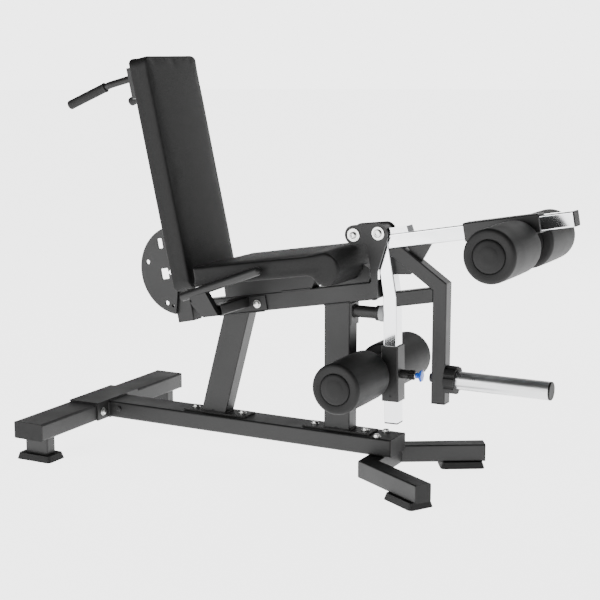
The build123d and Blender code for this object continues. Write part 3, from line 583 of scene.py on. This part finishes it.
# ---- operators ----
class MACHINE_OT_stage(bpy.types.Operator):
    """Floor, white surround, soft lights and camera"""
    bl_idname = "leg_machine.stage"
    bl_label = "Studio stage"

    def execute(self, context):
        look = context.scene.leg_machine
        reach = np.linspace(0.0, 40.0, 30)[:, None]
        turn = np.linspace(0.0, 2 * math.pi, 96, endpoint=False)[None, :]
        x, y = reach * np.cos(turn), reach * np.sin(turn)
        mesh = bpy.data.meshes.new("studio_floor")
        mesh.from_pydata(np.stack([x, y, np.full_like(x, -0.0004)], -1).reshape(-1, 3).tolist(), [],
                         grid_faces(30, 96, False, True)[:, ::-1].tolist())
        mesh.materials.append(material_of("floor"))
        floor = bpy.data.objects.new("studio_floor", mesh)
        context.scene.collection.objects.link(floor)

        world = bpy.data.worlds.new("white_surround")
        world.use_nodes = True
        context.scene.world = world
        tree = world.node_tree
        # a lit white wall beyond the machine; the room on the near side and overhead is dim
        where = add(tree, "TexCoord")
        split = add(tree, "SeparateXYZ", {"Vector": (where, "Generated")})
        beyond = add(tree, "VectorMath", {0: (where, "Generated"), 1: (-0.468, 0.884, 0.0)},
                     operation="DOT_PRODUCT")
        wall = add(tree, "MapRange", {"Value": (beyond, "Value"), "From Min": 0.35, "From Max": 0.85,
                                      "To Min": look.room, "To Max": 1.0},
                   interpolation_type="SMOOTHSTEP")
        dim = add(tree, "MapRange", {"Value": (split, "Z"), "From Min": 0.04, "From Max": 0.16,
                                     "To Min": 1.0, "To Max": 0.1}, interpolation_type="SMOOTHSTEP")
        both = add(tree, "Math", {0: (wall, "Result"), 1: (dim, "Result")}, operation="MULTIPLY")
        sky = tree.nodes["Background"]
        tree.links.new(both.outputs["Value"], sky.inputs["Color"])
        sky.inputs["Strength"].default_value = look.sky

        lights = (("key_softbox", (-1.9, -4.2, 1.5), look.key, 2.6),
                  ("rim_softbox", (0.6, 3.8, 2.6), look.key * 0.3, 2.4))
        for name, spot, power, size in lights:
            data = bpy.data.lights.new(name, "AREA")
            data.energy, data.shape, data.size = power, "DISK", size
            light = bpy.data.objects.new(name, data)
            light.location = spot
            aim = Vector((0.0, 0.0, 0.45)) - Vector(spot)
            light.rotation_euler = aim.to_track_quat("-Z", "Y").to_euler()
            context.scene.collection.objects.link(light)

        yaw, pitch = math.radians(27.89), math.radians(10.19)
        back = Vector((math.sin(yaw) * math.cos(pitch), -math.cos(yaw) * math.cos(pitch), math.sin(pitch)))
        right = Vector((math.cos(yaw), math.sin(yaw), 0.0))
        data = bpy.data.cameras.new("camera")
        data.lens, data.sensor_width = 83.15, 36.0
        camera = bpy.data.objects.new("camera", data)
        turn = Matrix((right, back.cross(right), back)).transposed().to_4x4()
        camera.matrix_world = Matrix.Translation((1.79205, -3.43055, 1.17649)) @ turn
        context.scene.collection.objects.link(camera)
        context.scene.camera = camera
        return {"FINISHED"}


class MACHINE_OT_frame_finishes(bpy.types.Operator):
    """Finishes for the parts that keep their CAD shape"""
    bl_idname = "leg_machine.frame_finishes"
    bl_label = "Frame finishes"

    def execute(self, context):
        by_slot = {"powder_coat": "coat", "chrome_tube": "chrome", "satin_steel": "steel",
                   "zinc_steel": "zinc", "knob_plastic": "plastic", "blue_knob": "knob",
                   "rubber": "rubber", "black_plastic": "plastic", "plywood": "plywood",
                   "vinyl_pad": "vinyl", "foam_roller": "skin"}
        for part in frame["record"]["subparts"]:
            node = frame["nodes"][part["node"]]
            node.data.materials.clear()
            node.data.materials.append(material_of(by_slot[part["material_slot"]]))
        return {"FINISHED"}


class MACHINE_OT_seat_cushion(bpy.types.Operator):
    """Seat cushion with the knee roll at its front"""
    bl_idname = "leg_machine.seat_cushion"
    bl_label = "Seat cushion"

    def execute(self, context):
        look = context.scene.leg_machine
        edge, crown = look.edge * 1000, look.crown * 1000
        corner = look.corner * 1000 * SEAT_CORNER_SHARE
        rear, top, low = 1.0, -1.0 - crown, -SEAT_THICK - 0.5
        roll = (SEAT_LENGTH, -ROLL)
        reach = ROLL - 1.5
        bottom_meet = SEAT_LENGTH - math.sqrt(reach ** 2 - (ROLL + low) ** 2)
        dip = 179.0 + math.degrees(math.asin((-ROLL - low) / reach))
        rear_top, rear_low = (rear + edge, top - edge), (rear + 3.0, low + 3.0)
        high = np.vstack([arc(rear_top, edge, 135, 90, 6), [[60, top]], [[SEAT_LENGTH - 60, top]],
                          arc(roll, reach, 90, 40, 14)])
        front = np.vstack([arc(roll, reach, -50, 40, 26)])
        under = np.vstack([arc(rear_low, 3.0, 225, 270, 4), [[60, low]],
                           [[bottom_meet - 14, low], [bottom_meet - 5, low - 1.5]],
                           arc(roll, reach, dip + 12, 310, 26)])
        back = np.vstack([arc(rear_low, 3.0, 225, 180, 4), arc(rear_top, edge, 180, 135, 6)])
        points, quads = pad_form((under, high, back, front), SEAT_HALF - 1.0, SEAT_THICK, SEAT_LENGTH + ROLL,
                                 corner, edge, (74, 14, 46), crown)
        world = place(tilted(SEAT_AT, SEAT_TILT, points[:, 0], points[:, 1], points[:, 2]))

        def hold(rest):
            x, z = rest[:, 0] * 1000 + FRAME_X - SEAT_AT[0], rest[:, 2] * 1000 - SEAT_AT[1]
            across = z * math.cos(SEAT_TILT) - x * math.sin(SEAT_TILT)
            along = x * math.cos(SEAT_TILT) + z * math.sin(SEAT_TILT)
            above = np.clip((across + SEAT_THICK - 4.0) / 16.0, 0.0, 1.0)
            return np.maximum(above, np.clip((along - SEAT_LENGTH + 30) / 30.0, 0.0, 1.0))

        upholster("seat_cushion", "frame", world, quads, "seat_pad", hold, look.swell)
        return {"FINISHED"}


class MACHINE_OT_back_cushion(bpy.types.Operator):
    """Backrest cushion"""
    bl_idname = "leg_machine.back_cushion"
    bl_label = "Back cushion"

    def execute(self, context):
        look = context.scene.leg_machine
        edge, corner, crown = look.edge * 1000, look.corner * 1000, look.crown * 1000
        low, high = BACK_LOW + 1.0, BACK_HIGH + 4.0
        rear, front = BACK_REAR - 0.5, BACK_FRONT - 1.0 - crown
        # the pad's length runs up the backrest and its thickness runs forward
        a, b = (low + edge, front - edge), (high - edge, front - edge)
        c, d = (low + 3.0, rear + 3.0), (high - 3.0, rear + 3.0)
        face = np.vstack([arc(a, edge, 135, 90, 6), [[low + 60, front], [high - 60, front]],
                          arc(b, edge, 90, 45, 6)])
        under = np.vstack([arc(c, 3.0, 225, 270, 4), [[low + 60, rear], [high - 60, rear]],
                           arc(d, 3.0, 270, 315, 4)])
        foot = np.vstack([arc(c, 3.0, 225, 180, 4), arc(a, edge, 180, 135, 6)])
        head = np.vstack([arc(d, 3.0, 315, 360, 4), arc(b, edge, 0, 45, 6)])
        points, quads = pad_form((under, face, foot, head), BACK_HALF - 1.0, BACK_FRONT - BACK_REAR,
                                 BACK_HIGH - BACK_LOW, corner, edge, (98, 12, 36), crown)
        world = place(tilted(RECLINE, BACK_TILT, points[:, 1], points[:, 0], points[:, 2]))

        def hold(rest):
            x, z = rest[:, 0] * 1000 + FRAME_X - RECLINE[0], rest[:, 2] * 1000 - RECLINE[1]
            ahead = x * math.cos(BACK_TILT) + z * math.sin(BACK_TILT)
            return np.clip((ahead - BACK_REAR - 4.0) / 16.0, 0.0, 1.0)

        upholster("back_cushion", "backrest", world, quads, "backrest_pad", hold, look.swell)
        return {"FINISHED"}


class MACHINE_OT_pad_backs(bpy.types.Operator):
    """Dust covers and staples on the cushions' undersides"""
    bl_idname = "leg_machine.pad_backs"
    bl_label = "Dust covers and staples"

    def cover(self, low, high, half, drop, bulge):
        """Sheet whose outline is a rectangle with rounded corners: a squircle of power 12 drawn on rings.
        Towards its middle it bulges outward, ring by ring, by up to 1.3 times the bulge."""
        turn = np.linspace(0.0, 2 * math.pi, 160, endpoint=False)
        ring = np.array([1.0, 0.985, 0.96, 0.9, 0.75, 0.5, 0.25, 0.0])
        reach = (np.abs(np.cos(turn)) ** 12 + np.abs(np.sin(turn)) ** 12) ** (-1 / 12)
        along = (low + high) / 2 + (high - low) / 2 * ring[:, None] * (reach * np.cos(turn))
        side = half * ring[:, None] * (reach * np.sin(turn))
        rise = np.array([0.0, 0.5, 0.7, 0.8, 1.0, 1.2, 1.3, 1.3]) * bulge
        return along, drop - rise[:, None] + 0 * along, side

    def staples(self, low, high, half, level):
        """Staple crowns round the rim: small flat bars, one box each, at equal steps."""
        step = 32.0
        runs = []
        for side in (-half, half):
            s = np.arange(low + 14, high - 10, step)
            runs.append(np.stack([s, np.full_like(s, side), np.zeros_like(s)], -1))
        for end in (low, high):
            s = np.arange(-half + 14, half - 10, step)
            runs.append(np.stack([np.full_like(s, end), s, np.ones_like(s)], -1))
        spots = np.vstack(runs)
        box = np.array([[a, b, c] for a in (-5.0, 5.0) for b in (-0.6, 0.6) for c in (0.0, -0.7)])
        turned = np.where(spots[:, 2:3, None] > 0, box[None, :, [1, 0, 2]], box[None])
        points = turned + np.concatenate([spots[:, :2], np.full((len(spots), 1), level)], 1)[:, None]
        faces = np.array([[0, 1, 3, 2], [4, 6, 7, 5], [0, 4, 5, 1], [2, 3, 7, 6], [0, 2, 6, 4], [1, 5, 7, 3]])
        quads = (faces[None] + 8 * np.arange(len(spots))[:, None, None]).reshape(-1, 4)
        return points.reshape(-1, 3), quads

    def execute(self, context):
        along, drop, side = self.cover(18.0, SEAT_LENGTH - 62.0, SEAT_HALF - 18.0, -SEAT_THICK - 0.6, 0.5)
        seat = place(tilted(SEAT_AT, SEAT_TILT, along, drop, side))
        staple, quads = self.staples(24.0, SEAT_LENGTH - 68.0, SEAT_HALF - 24.0, -SEAT_THICK - 1.2)
        pins = place(tilted(SEAT_AT, SEAT_TILT, staple[:, 0], staple[:, 2], staple[:, 1]))
        piece("seat_dust_cover", "frame", [(seat, False, "cloth"), (pins, quads, "zinc")],
              ("seat_board",), closed=False)
        along, drop, side = self.cover(BACK_LOW + 16, BACK_HIGH - 16, BACK_HALF - 16, BACK_REAR - 0.6, 0.5)
        back = place(tilted(RECLINE, BACK_TILT, drop, along, side))
        staple, quads = self.staples(BACK_LOW + 22, BACK_HIGH - 22, BACK_HALF - 22, BACK_REAR - 1.2)
        pins = place(tilted(RECLINE, BACK_TILT, staple[:, 2], staple[:, 0], staple[:, 1]))
        piece("back_dust_cover", "backrest", [(back, False, "cloth"), (pins, quads, "zinc")],
              ("backrest_board",), closed=False)
        return {"FINISHED"}


class MACHINE_OT_rollers(bpy.types.Operator):
    """Four foam rollers with their end caps"""
    bl_idname = "leg_machine.rollers"
    bl_label = "Foam rollers"

    def execute(self, context):
        radius = context.scene.leg_machine.roller_radius * 1000
        for level in ("upper", "lower"):
            for name, side in (("right", -1.0), ("left", 1.0)):
                low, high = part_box(f"{level}_{name}_foam")
                middle = [(low.x + high.x) * 500, 0.0, (low.z + high.z) * 500]
                inner, outer = sorted((abs(low.y) * 1000, abs(high.y) * 1000))
                self.roller(f"{level}_{name}", side, middle, inner, outer, radius)
        return {"FINISHED"}

    def roller(self, name, side, middle, inner, outer, radius):
        """The foam's radius follows a quarter round of 10 mm at each end and a belly of 0.6 mm between;
        the cap is a flange, a sloped ring and a low dome."""
        body = f"{name}_roller"
        turn = np.radians(np.linspace(0, 90, 12))
        soft, bore = 10.0, 43.4
        rim = radius - 0.4 - soft
        belly = np.linspace(0.0, 1.0, 22)[1:-1]
        length = outer - inner - 2 * soft
        rows = [(inner + 5, bore - 1.5), (inner + 1.4, bore), (inner + 0.2, bore + 2.0)]
        rows += [(inner + soft - soft * math.cos(t), rim + soft * math.sin(t)) for t in turn]
        rows += [(inner + soft + length * t, rim + soft + 2.4 * t * (1 - t)) for t in belly]
        rows += [(outer - soft + soft * math.cos(t), rim + soft * math.sin(t)) for t in turn[::-1]]
        rows += [(outer - 0.2, bore + 2.0), (outer - 1.4, bore + 0.2), (outer - 5, bore - 1.5)]
        rows += [(outer - 5, 20.0), (inner + 5, 20.0), rows[0]]
        foam = piece(f"{name}_foam_cover", body,
                     [(lathe(rows, middle, (0, side, 0), 120), False, "skin")], (f"{name}_foam",))
        cap = [(outer + 5.4, 0.0), (outer + 5.3, 12.0), (outer + 5.0, 23.0), (outer + 4.2, 25.0),
               (outer + 3.7, 27.0), (outer + 2.6, 36.0), (outer + 1.2, 40.5), (outer - 0.6, 42.2),
               (outer - 3.4, 42.6), (outer - 4.5, 42.6), (outer - 4.5, 24.0), (outer + 1.2, 21.5),
               (outer + 4.75, 19.0), (outer + 4.75, 0.0)]
        ring = [(inner + 4.5, 42.0), (inner + 0.4, 41.6), (inner - 0.6, 40.0), (inner - 0.6, 16.0),
                (inner - 1.6, 15.2), (inner - 1.6, 12.1), (inner + 4.5, 12.1), (inner + 4.5, 42.0)]
        piece(f"{name}_caps", body,
              [(lathe(cap, middle, (0, side, 0), 96), False, "plastic"),
               (lathe(ring, middle, (0, side, 0), 96), False, "plastic")], (f"{name}_hub",))


class MACHINE_OT_fasteners(bpy.types.Operator):
    """Bolts, nuts and washers"""
    bl_idname = "leg_machine.fasteners"
    bl_label = "Fasteners"

    def hexagon(self, spot, axis, flats, height, washer, shank, key, thick=2.0):
        """Chamfered hexagon head on a washer, and its shank."""
        base = thick if washer else 0.0
        corner = flats / math.cos(math.pi / 6)
        top = base + height
        rows = [(top, 0.0), (top, 0.86 * flats), (top - 0.5, flats * 0.97, flats), (top - 1.4, corner, flats),
                (base + 0.3, corner, flats), (base, flats * 0.96, flats), (base, shank), (-14.0, shank),
                (-15.0, shank - 1.0), (-15.0, 0.0)]
        parts = [(lathe(rows, spot, axis, 48), False, key)]
        if washer:
            ring = [(thick, shank + 0.6), (thick, washer - 0.5), (thick - 0.4, washer), (0.3, washer),
                    (0.0, washer - 0.4), (0.0, shank + 0.6), (thick, shank + 0.6)]
            parts.append((lathe(ring, spot, axis, 48), False, key))
        return parts

    def cross_bolt(self, spot, reach, shank, washer, thick):
        """Bolt across the machine along Y: a button head with a hexagon socket on the right, a nut and
        the bolt's chamfered end on the left, and a washer at each end."""
        origin = place([spot[0], 0.0, spot[1]])
        head = shank + 3.5
        rows = [(reach + 3.4, 0.0, 0.0), (reach + 3.4, 0.52 * head, 0.46 * head),
                (reach + 6.6, 0.54 * head, 0.5 * head), (reach + 6.8, 0.66 * head),
                (reach + 5.9, 0.86 * head), (reach + 4.0, 0.97 * head), (reach + 2.0, head),
                (reach + 0.3, head), (reach, head - 0.4), (reach, shank), (-reach - 10.5, shank),
                (-reach - 11.5, shank - 1.0), (-reach - 11.5, 0.0)]
        flats = shank + 5.0 * 0.85
        corner = flats / math.cos(math.pi / 6)
        nut = [(-reach, shank), (-reach, flats * 0.96, flats), (-reach - 0.6, corner, flats),
               (-reach - 7.6, corner, flats), (-reach - 8.6, flats * 0.96, flats), (-reach - 8.6, shank),
               (-reach, shank)]
        parts = [(lathe(rows, origin, (0, -1, 0), 60), False, "zinc"),
                 (lathe(nut, origin, (0, -1, 0), 60), False, "zinc")]
        inner = reach - thick
        for sign in (-1.0, 1.0):
            ring = [(inner, shank), (inner, washer - 0.6), (inner + 0.6, washer),
                    (inner + thick - 0.7, washer), (inner + thick, washer - 0.7), (inner + thick, shank),
                    (inner, shank)]
            parts.append((lathe(ring, origin, (0, sign, 0), 72), False, "zinc"))
        return parts

    def execute(self, context):
        bolt = (M10_FLATS, M10_HEAD, M10_WASHER, M10_SHANK, "zinc")
        parts = []
        for x in BASE_BOLT_X:
            parts += self.hexagon(place([x, 0.0, 123.0]), (0, 0, 1), *bolt)
        for side in (-1.0, 1.0):
            parts += self.hexagon(place([952.3, side * 31.0, 118.0]), (0, 0, 1), *bolt)
            parts += self.hexagon(place([55.0, side * 80.0, 92.0]), (1, 0, 0), *bolt)
            parts += self.hexagon(place([93.0, side * 50.0, 98.0]), (0, side, 0), 7.0, 5.0, 0.0, 5.0, "oxide")
            for x, z in RAIL_BOLTS:
                parts += self.hexagon(place([x, side * 30.0, z]), (0, side, 0), *bolt)
        piece("frame_fasteners", "frame", parts, ("frame_bolts",), sharp=30.0)
        piece("lever_axle_bolt", "frame", self.cross_bolt(AXLE, 34.0, 8.0, 18.5, 3.0),
              ("lever_axle",), sharp=30.0)
        piece("tie_bolt_set", "frame", self.cross_bolt(TIE, 34.0, 6.0, 18.5, 3.0),
              ("tie_bolt", "pivot_washers"), sharp=30.0)
        piece("recline_axle_bolt", "frame", self.cross_bolt(RECLINE, 35.3, 8.0, 16.0, 3.0),
              ("recline_axle",), sharp=30.0)
        parts = self.hexagon(place([1107.0, 0.0, HORN_Z]), (-1, 0, 0), 11.5, 8.0, 16.0, 8.0, "oxide")
        piece("horn_hex_bolt", "lever", parts, ("horn_bolt",), sharp=30.0)
        return {"FINISHED"}


class MACHINE_OT_small_holes(bpy.types.Operator):
    """Black dishes painted as the shade inside the drain holes at the uprights' feet and the set-screw hole
    in the lower sleeve
    """
    bl_idname = "leg_machine.small_holes"
    bl_label = "Small holes"

    def rim(self, spot, side, radius):
        """Shallow dish with a rounded lip, a third of a millimetre proud of the steel, in black rubber:
        painted shade for the hole's dark inside.
        """
        rows = [(0.1, 0.0), (0.1, radius - 0.8), (0.35, radius - 0.3), (0.35, radius), (0.0, radius + 0.3)]
        return lathe(rows, place(spot), (0, side, 0), 40), False, "rubber"

    def execute(self, context):
        # each dish is a black disc of painted shade where a drain hole's dark inside would show
        holes = [self.rim((x, side * 25.0, 123.5), side, 6.6) for x in (415.0, 822.5) for side in (-1.0, 1.0)]
        piece("drain_hole_shade_dishes", "frame", holes, closed=False)
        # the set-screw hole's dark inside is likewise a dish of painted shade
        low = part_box("lower_sleeve")[0]
        spot = (988.2, low.y * 1000, 237.9)
        piece("set_screw_hole_shade_dish", "lower_carriage", [self.rim(spot, -1.0, 3.6)], closed=False)
        return {"FINISHED"}


class MACHINE_OT_pull_pins(bpy.types.Operator):
    """Sprung pull pins and the backrest's latch knob"""
    bl_idname = "leg_machine.pull_pins"
    bl_label = "Pull pins"

    def pin(self, name, body, node, origin, axis, tip):
        """A ribbed black sleeve, a bright neck and a flared blue knob with six shallow lobes."""
        sleeve = [(26.0, 5.0), (26.0, 12.0, 0, 0.03), (27.0, 13.0, 0, 0.05), (40.0, 13.0, 0, 0.05),
                  (41.5, 11.5, 0, 0.03), (42.2, 7.0), (42.2, 5.0), (26.0, 5.0)]
        neck = [(tip, 0.0), (tip, 4.4), (tip + 0.8, 5.0), (42.0, 5.0), (42.2, 8.4), (43.6, 8.8), (45.0, 8.4),
                (45.2, 4.6), (50.0, 4.6), (50.0, 0.0)]
        knob = [(45.6, 4.6), (45.8, 7.6), (47.0, 8.6), (50.0, 8.0), (53.0, 8.6, 0, 0.01),
                (56.0, 11.4, 0, 0.03), (58.4, 15.4, 0, 0.05), (60.0, 16.6, 0, 0.05), (61.6, 16.6, 0, 0.05),
                (62.9, 15.0, 0, 0.04),
                (63.6, 11.0, 0, 0.02), (64.0, 6.0), (64.0, 0.0)]
        piece(name, body,
              [(lathe(sleeve, origin, axis, 96, 16), False, "plastic"),
               (lathe(neck, origin, axis, 48), False, "zinc"),
               (lathe(knob, origin, axis, 72, 6), False, "knob")], (node,), sharp=34.0)

    def execute(self, context):
        low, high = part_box("lower_pin")
        start = high.x * 1000 - 64.0
        self.pin("lower_pull_knob", "lower_pull_pin", "lower_pin", (start, 0.0, HORN_Z), (1, 0, 0), -3.2)
        low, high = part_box("upper_pin")
        spot = ((low.x + high.x) * 500, high.y * 1000 - 64.0, (low.z + high.z) * 500)
        self.pin("upper_pull_knob", "upper_pull_pin", "upper_pin", spot, (0, 1, 0), low.y * 1000 - spot[1])
        origin = place([LATCH[0], 0.0, LATCH[1]])
        shaft = [(-24.0, 0.0), (-24.0, 4.2), (-23.0, 5.0), (46.5, 5.0), (46.5, 0.0)]
        knob = [(46.0, 5.0), (46.0, 8.0), (48.0, 9.0), (52.0, 9.0), (55.0, 10.5, 0, 0.02),
                (58.0, 12.2, 0, 0.04), (61.0, 13.0, 0, 0.05), (66.0, 13.0, 0, 0.05), (69.5, 11.6, 0, 0.04),
                (71.6, 8.0, 0, 0.02),
                (72.0, 4.0), (72.0, 0.0)]
        piece("recline_latch_knob", "latch_pin",
              [(lathe(shaft, origin, (0, 1, 0), 40), False, "zinc"),
               (lathe(knob, origin, (0, 1, 0), 96, 8), False, "plastic")], ("recline_pin",), sharp=34.0)
        return {"FINISHED"}


class MACHINE_OT_bumper(bpy.types.Operator):
    """Grey urethane stop on its rubber mount"""
    bl_idname = "leg_machine.bumper"
    bl_label = "Bumper"

    def execute(self, context):
        low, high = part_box("bumper_pad")
        start, thick = low.x * 1000, (high.x - low.x) * 1000
        origin = (start, 0.0, (low.z + high.z) * 500)
        disc = [(0.0, 0.0), (0.0, 21.0), (0.8, 22.4), (1.8, 23.0), (thick - 2.4, 23.0), (thick - 0.8, 22.0),
                (thick, 19.6), (thick, 9.0), (thick - 1.6, 7.6), (thick - 1.6, 0.0)]
        piece("bumper_disc", "frame", [(lathe(disc, origin, (1, 0, 0), 72), False, "urethane")],
              ("bumper_pad",))
        return {"FINISHED"}


class MACHINE_OT_grips(bpy.types.Operator):
    """Rubber grips on the back handles"""
    bl_idname = "leg_machine.grips"
    bl_label = "Back handle grips"

    def execute(self, context):
        parts = []
        for side in (-1.0, 1.0):
            bend = place([150.0, side * 137.0, 1080.0])
            end = place([21.7, side * 154.4, 1021.5])
            axis = (end - bend) / np.linalg.norm(end - bend)
            round_end = [(4.0 - 6.0 + 6.0 * math.sin(t), 13.5 - 6.0 + 6.0 * math.cos(t))
                         for t in np.radians(np.linspace(0, 90, 7))]
            ribs = [(-128.0 + 8 + k * 2.0, 13.5 - (0.7 if k % 3 == 0 else 0.0)) for k in range(57)]
            rows = [(-128.0, 10.1), (-128.0, 13.2), (-127.0, 14.2), (-123.0, 14.2), (-122.0, 13.5)]
            rows += ribs + round_end + [(4.0, 0.0)]
            parts.append((lathe(rows, end, axis, 56), False, "rubber"))
        piece("back_grips", "backrest", parts, ("back_handle_grips",), sharp=50.0, closed=False)
        return {"FINISHED"}


class MACHINE_OT_welds(bpy.types.Operator):
    """Weld beads where the tubes and plates meet"""
    bl_idname = "leg_machine.welds"
    bl_label = "Weld beads"

    def ring(self, middle, first, second, half_first, half_second, corner=4.0):
        """Rectangle with cut corners, in the plane of two directions."""
        a, b, c = half_first, half_second, corner
        flat = [(-a, -b + c), (-a + c, -b), (a - c, -b), (a, -b + c), (a, b - c), (a - c, b), (-a + c, b),
                (-a, b - c)]
        first, second = np.array(first, float), np.array(second, float)
        return [np.array(middle, float) + p * first + q * second for p, q in flat]

    def execute(self, context):
        r = context.scene.leg_machine.bead_radius * 1000
        fore, cross, up = (1, 0, 0), (0, 1, 0), (0, 0, 1)
        rail = (math.cos(TILT), 0.0, math.sin(TILT))
        square = (-math.sin(TILT), 0.0, math.cos(TILT))
        # where a tube ends on a plate or another tube: middle, two directions, half sizes, normal
        loops = [
            (self.ring((823.0, 0, 123.3), fore, cross, 40.4, 25.4), up),
            (self.ring((415.7, 0, 123.3), fore, cross, 41.8, 25.4), up),
            (self.ring((823.0, 0, 483.3), rail, cross, 41.0, 25.0), square),
            (self.ring((496.9, 0, 425.8), rail, cross, 44.5, 25.0), square),
            (self.ring((55.4, 0, 93.0), cross, up, 50.3, 25.3), fore),
        ]
        loops += [(self.ring((0.0, side * 317.0, 67.6), fore, cross, 40.3, 19.3), up)
                  for side in (-1.0, 1.0)]
        parts = [(bead(place(loop), r, True, normal), True, "coat") for loop, normal in loops]
        lines = []
        for side in (-1.0, 1.0):
            outward = (0, side, 0)
            lines.append(([(-48.0, side * 107.2, 118.3), (52.0, side * 107.2, 118.3)], up))
            # the seat support's foot on the rail's top, and the side plates' lower edges
            for ends, rise, reach in (((-130.0, -34.0), 50.0, 25.2), ((-345.0, -190.0), 0.5, 30.2)):
                along = np.array(ends)
                lines.append((tilted(RAIL_AT, TILT, along, rise, side * reach), outward))
            lines.append(([(935.0, side * 31.2, 505.0), (949.0, side * 31.2, 507.5)], outward))
        parts += [(bead(place(line), r, False, normal), False, "coat") for line, normal in lines]
        turn = np.radians(np.arange(0, 360, 12))
        stem = np.stack([np.full_like(turn, 868.2), 17.3 * np.cos(turn), 463.0 + 17.3 * np.sin(turn)], -1)
        parts.append((bead(place(stem), r, True, fore), True, "coat"))
        piece("frame_welds", "frame", parts, sharp=60.0, closed=False)
        return {"FINISHED"}


class MACHINE_OT_build(bpy.types.Operator):
    """Every piece and the stage, in order"""
    bl_idname = "leg_machine.build"
    bl_label = "Build everything"

    def execute(self, context):
        for step in STEPS:
            getattr(bpy.ops.leg_machine, step)()
        return {"FINISHED"}


class MACHINE_PT_panel(bpy.types.Panel):
    """Settings and steps of the machine"""
    bl_label = "Leg Extension Machine"
    bl_idname = "MACHINE_PT_panel"
    bl_space_type = "VIEW_3D"
    bl_region_type = "UI"
    bl_category = "Machine"

    def draw(self, context):
        look = context.scene.leg_machine
        for name in look.bl_rna.properties.keys():
            if name not in ("rna_type", "name"):
                self.layout.prop(look, name)
        for step in STEPS:
            self.layout.operator("leg_machine." + step)


STEPS = ("stage", "frame_finishes", "seat_cushion", "back_cushion", "pad_backs", "rollers", "fasteners",
         "small_holes", "pull_pins", "bumper", "grips", "welds")
CLASSES = (MachineLook, MACHINE_OT_stage, MACHINE_OT_frame_finishes, MACHINE_OT_seat_cushion,
           MACHINE_OT_back_cushion, MACHINE_OT_pad_backs, MACHINE_OT_rollers, MACHINE_OT_fasteners,
           MACHINE_OT_small_holes, MACHINE_OT_pull_pins, MACHINE_OT_bumper, MACHINE_OT_grips,
           MACHINE_OT_welds, MACHINE_OT_build, MACHINE_PT_panel)


def register():
    for item in CLASSES:
        bpy.utils.register_class(item)
    bpy.types.Scene.leg_machine = PointerProperty(type=MachineLook)


def unregister():
    del bpy.types.Scene.leg_machine
    for item in reversed(CLASSES):
        bpy.utils.unregister_class(item)


def main():
    register()
    for step in STEPS:
        getattr(bpy.ops.leg_machine, step)()


if __name__ == "__main__":
    main()
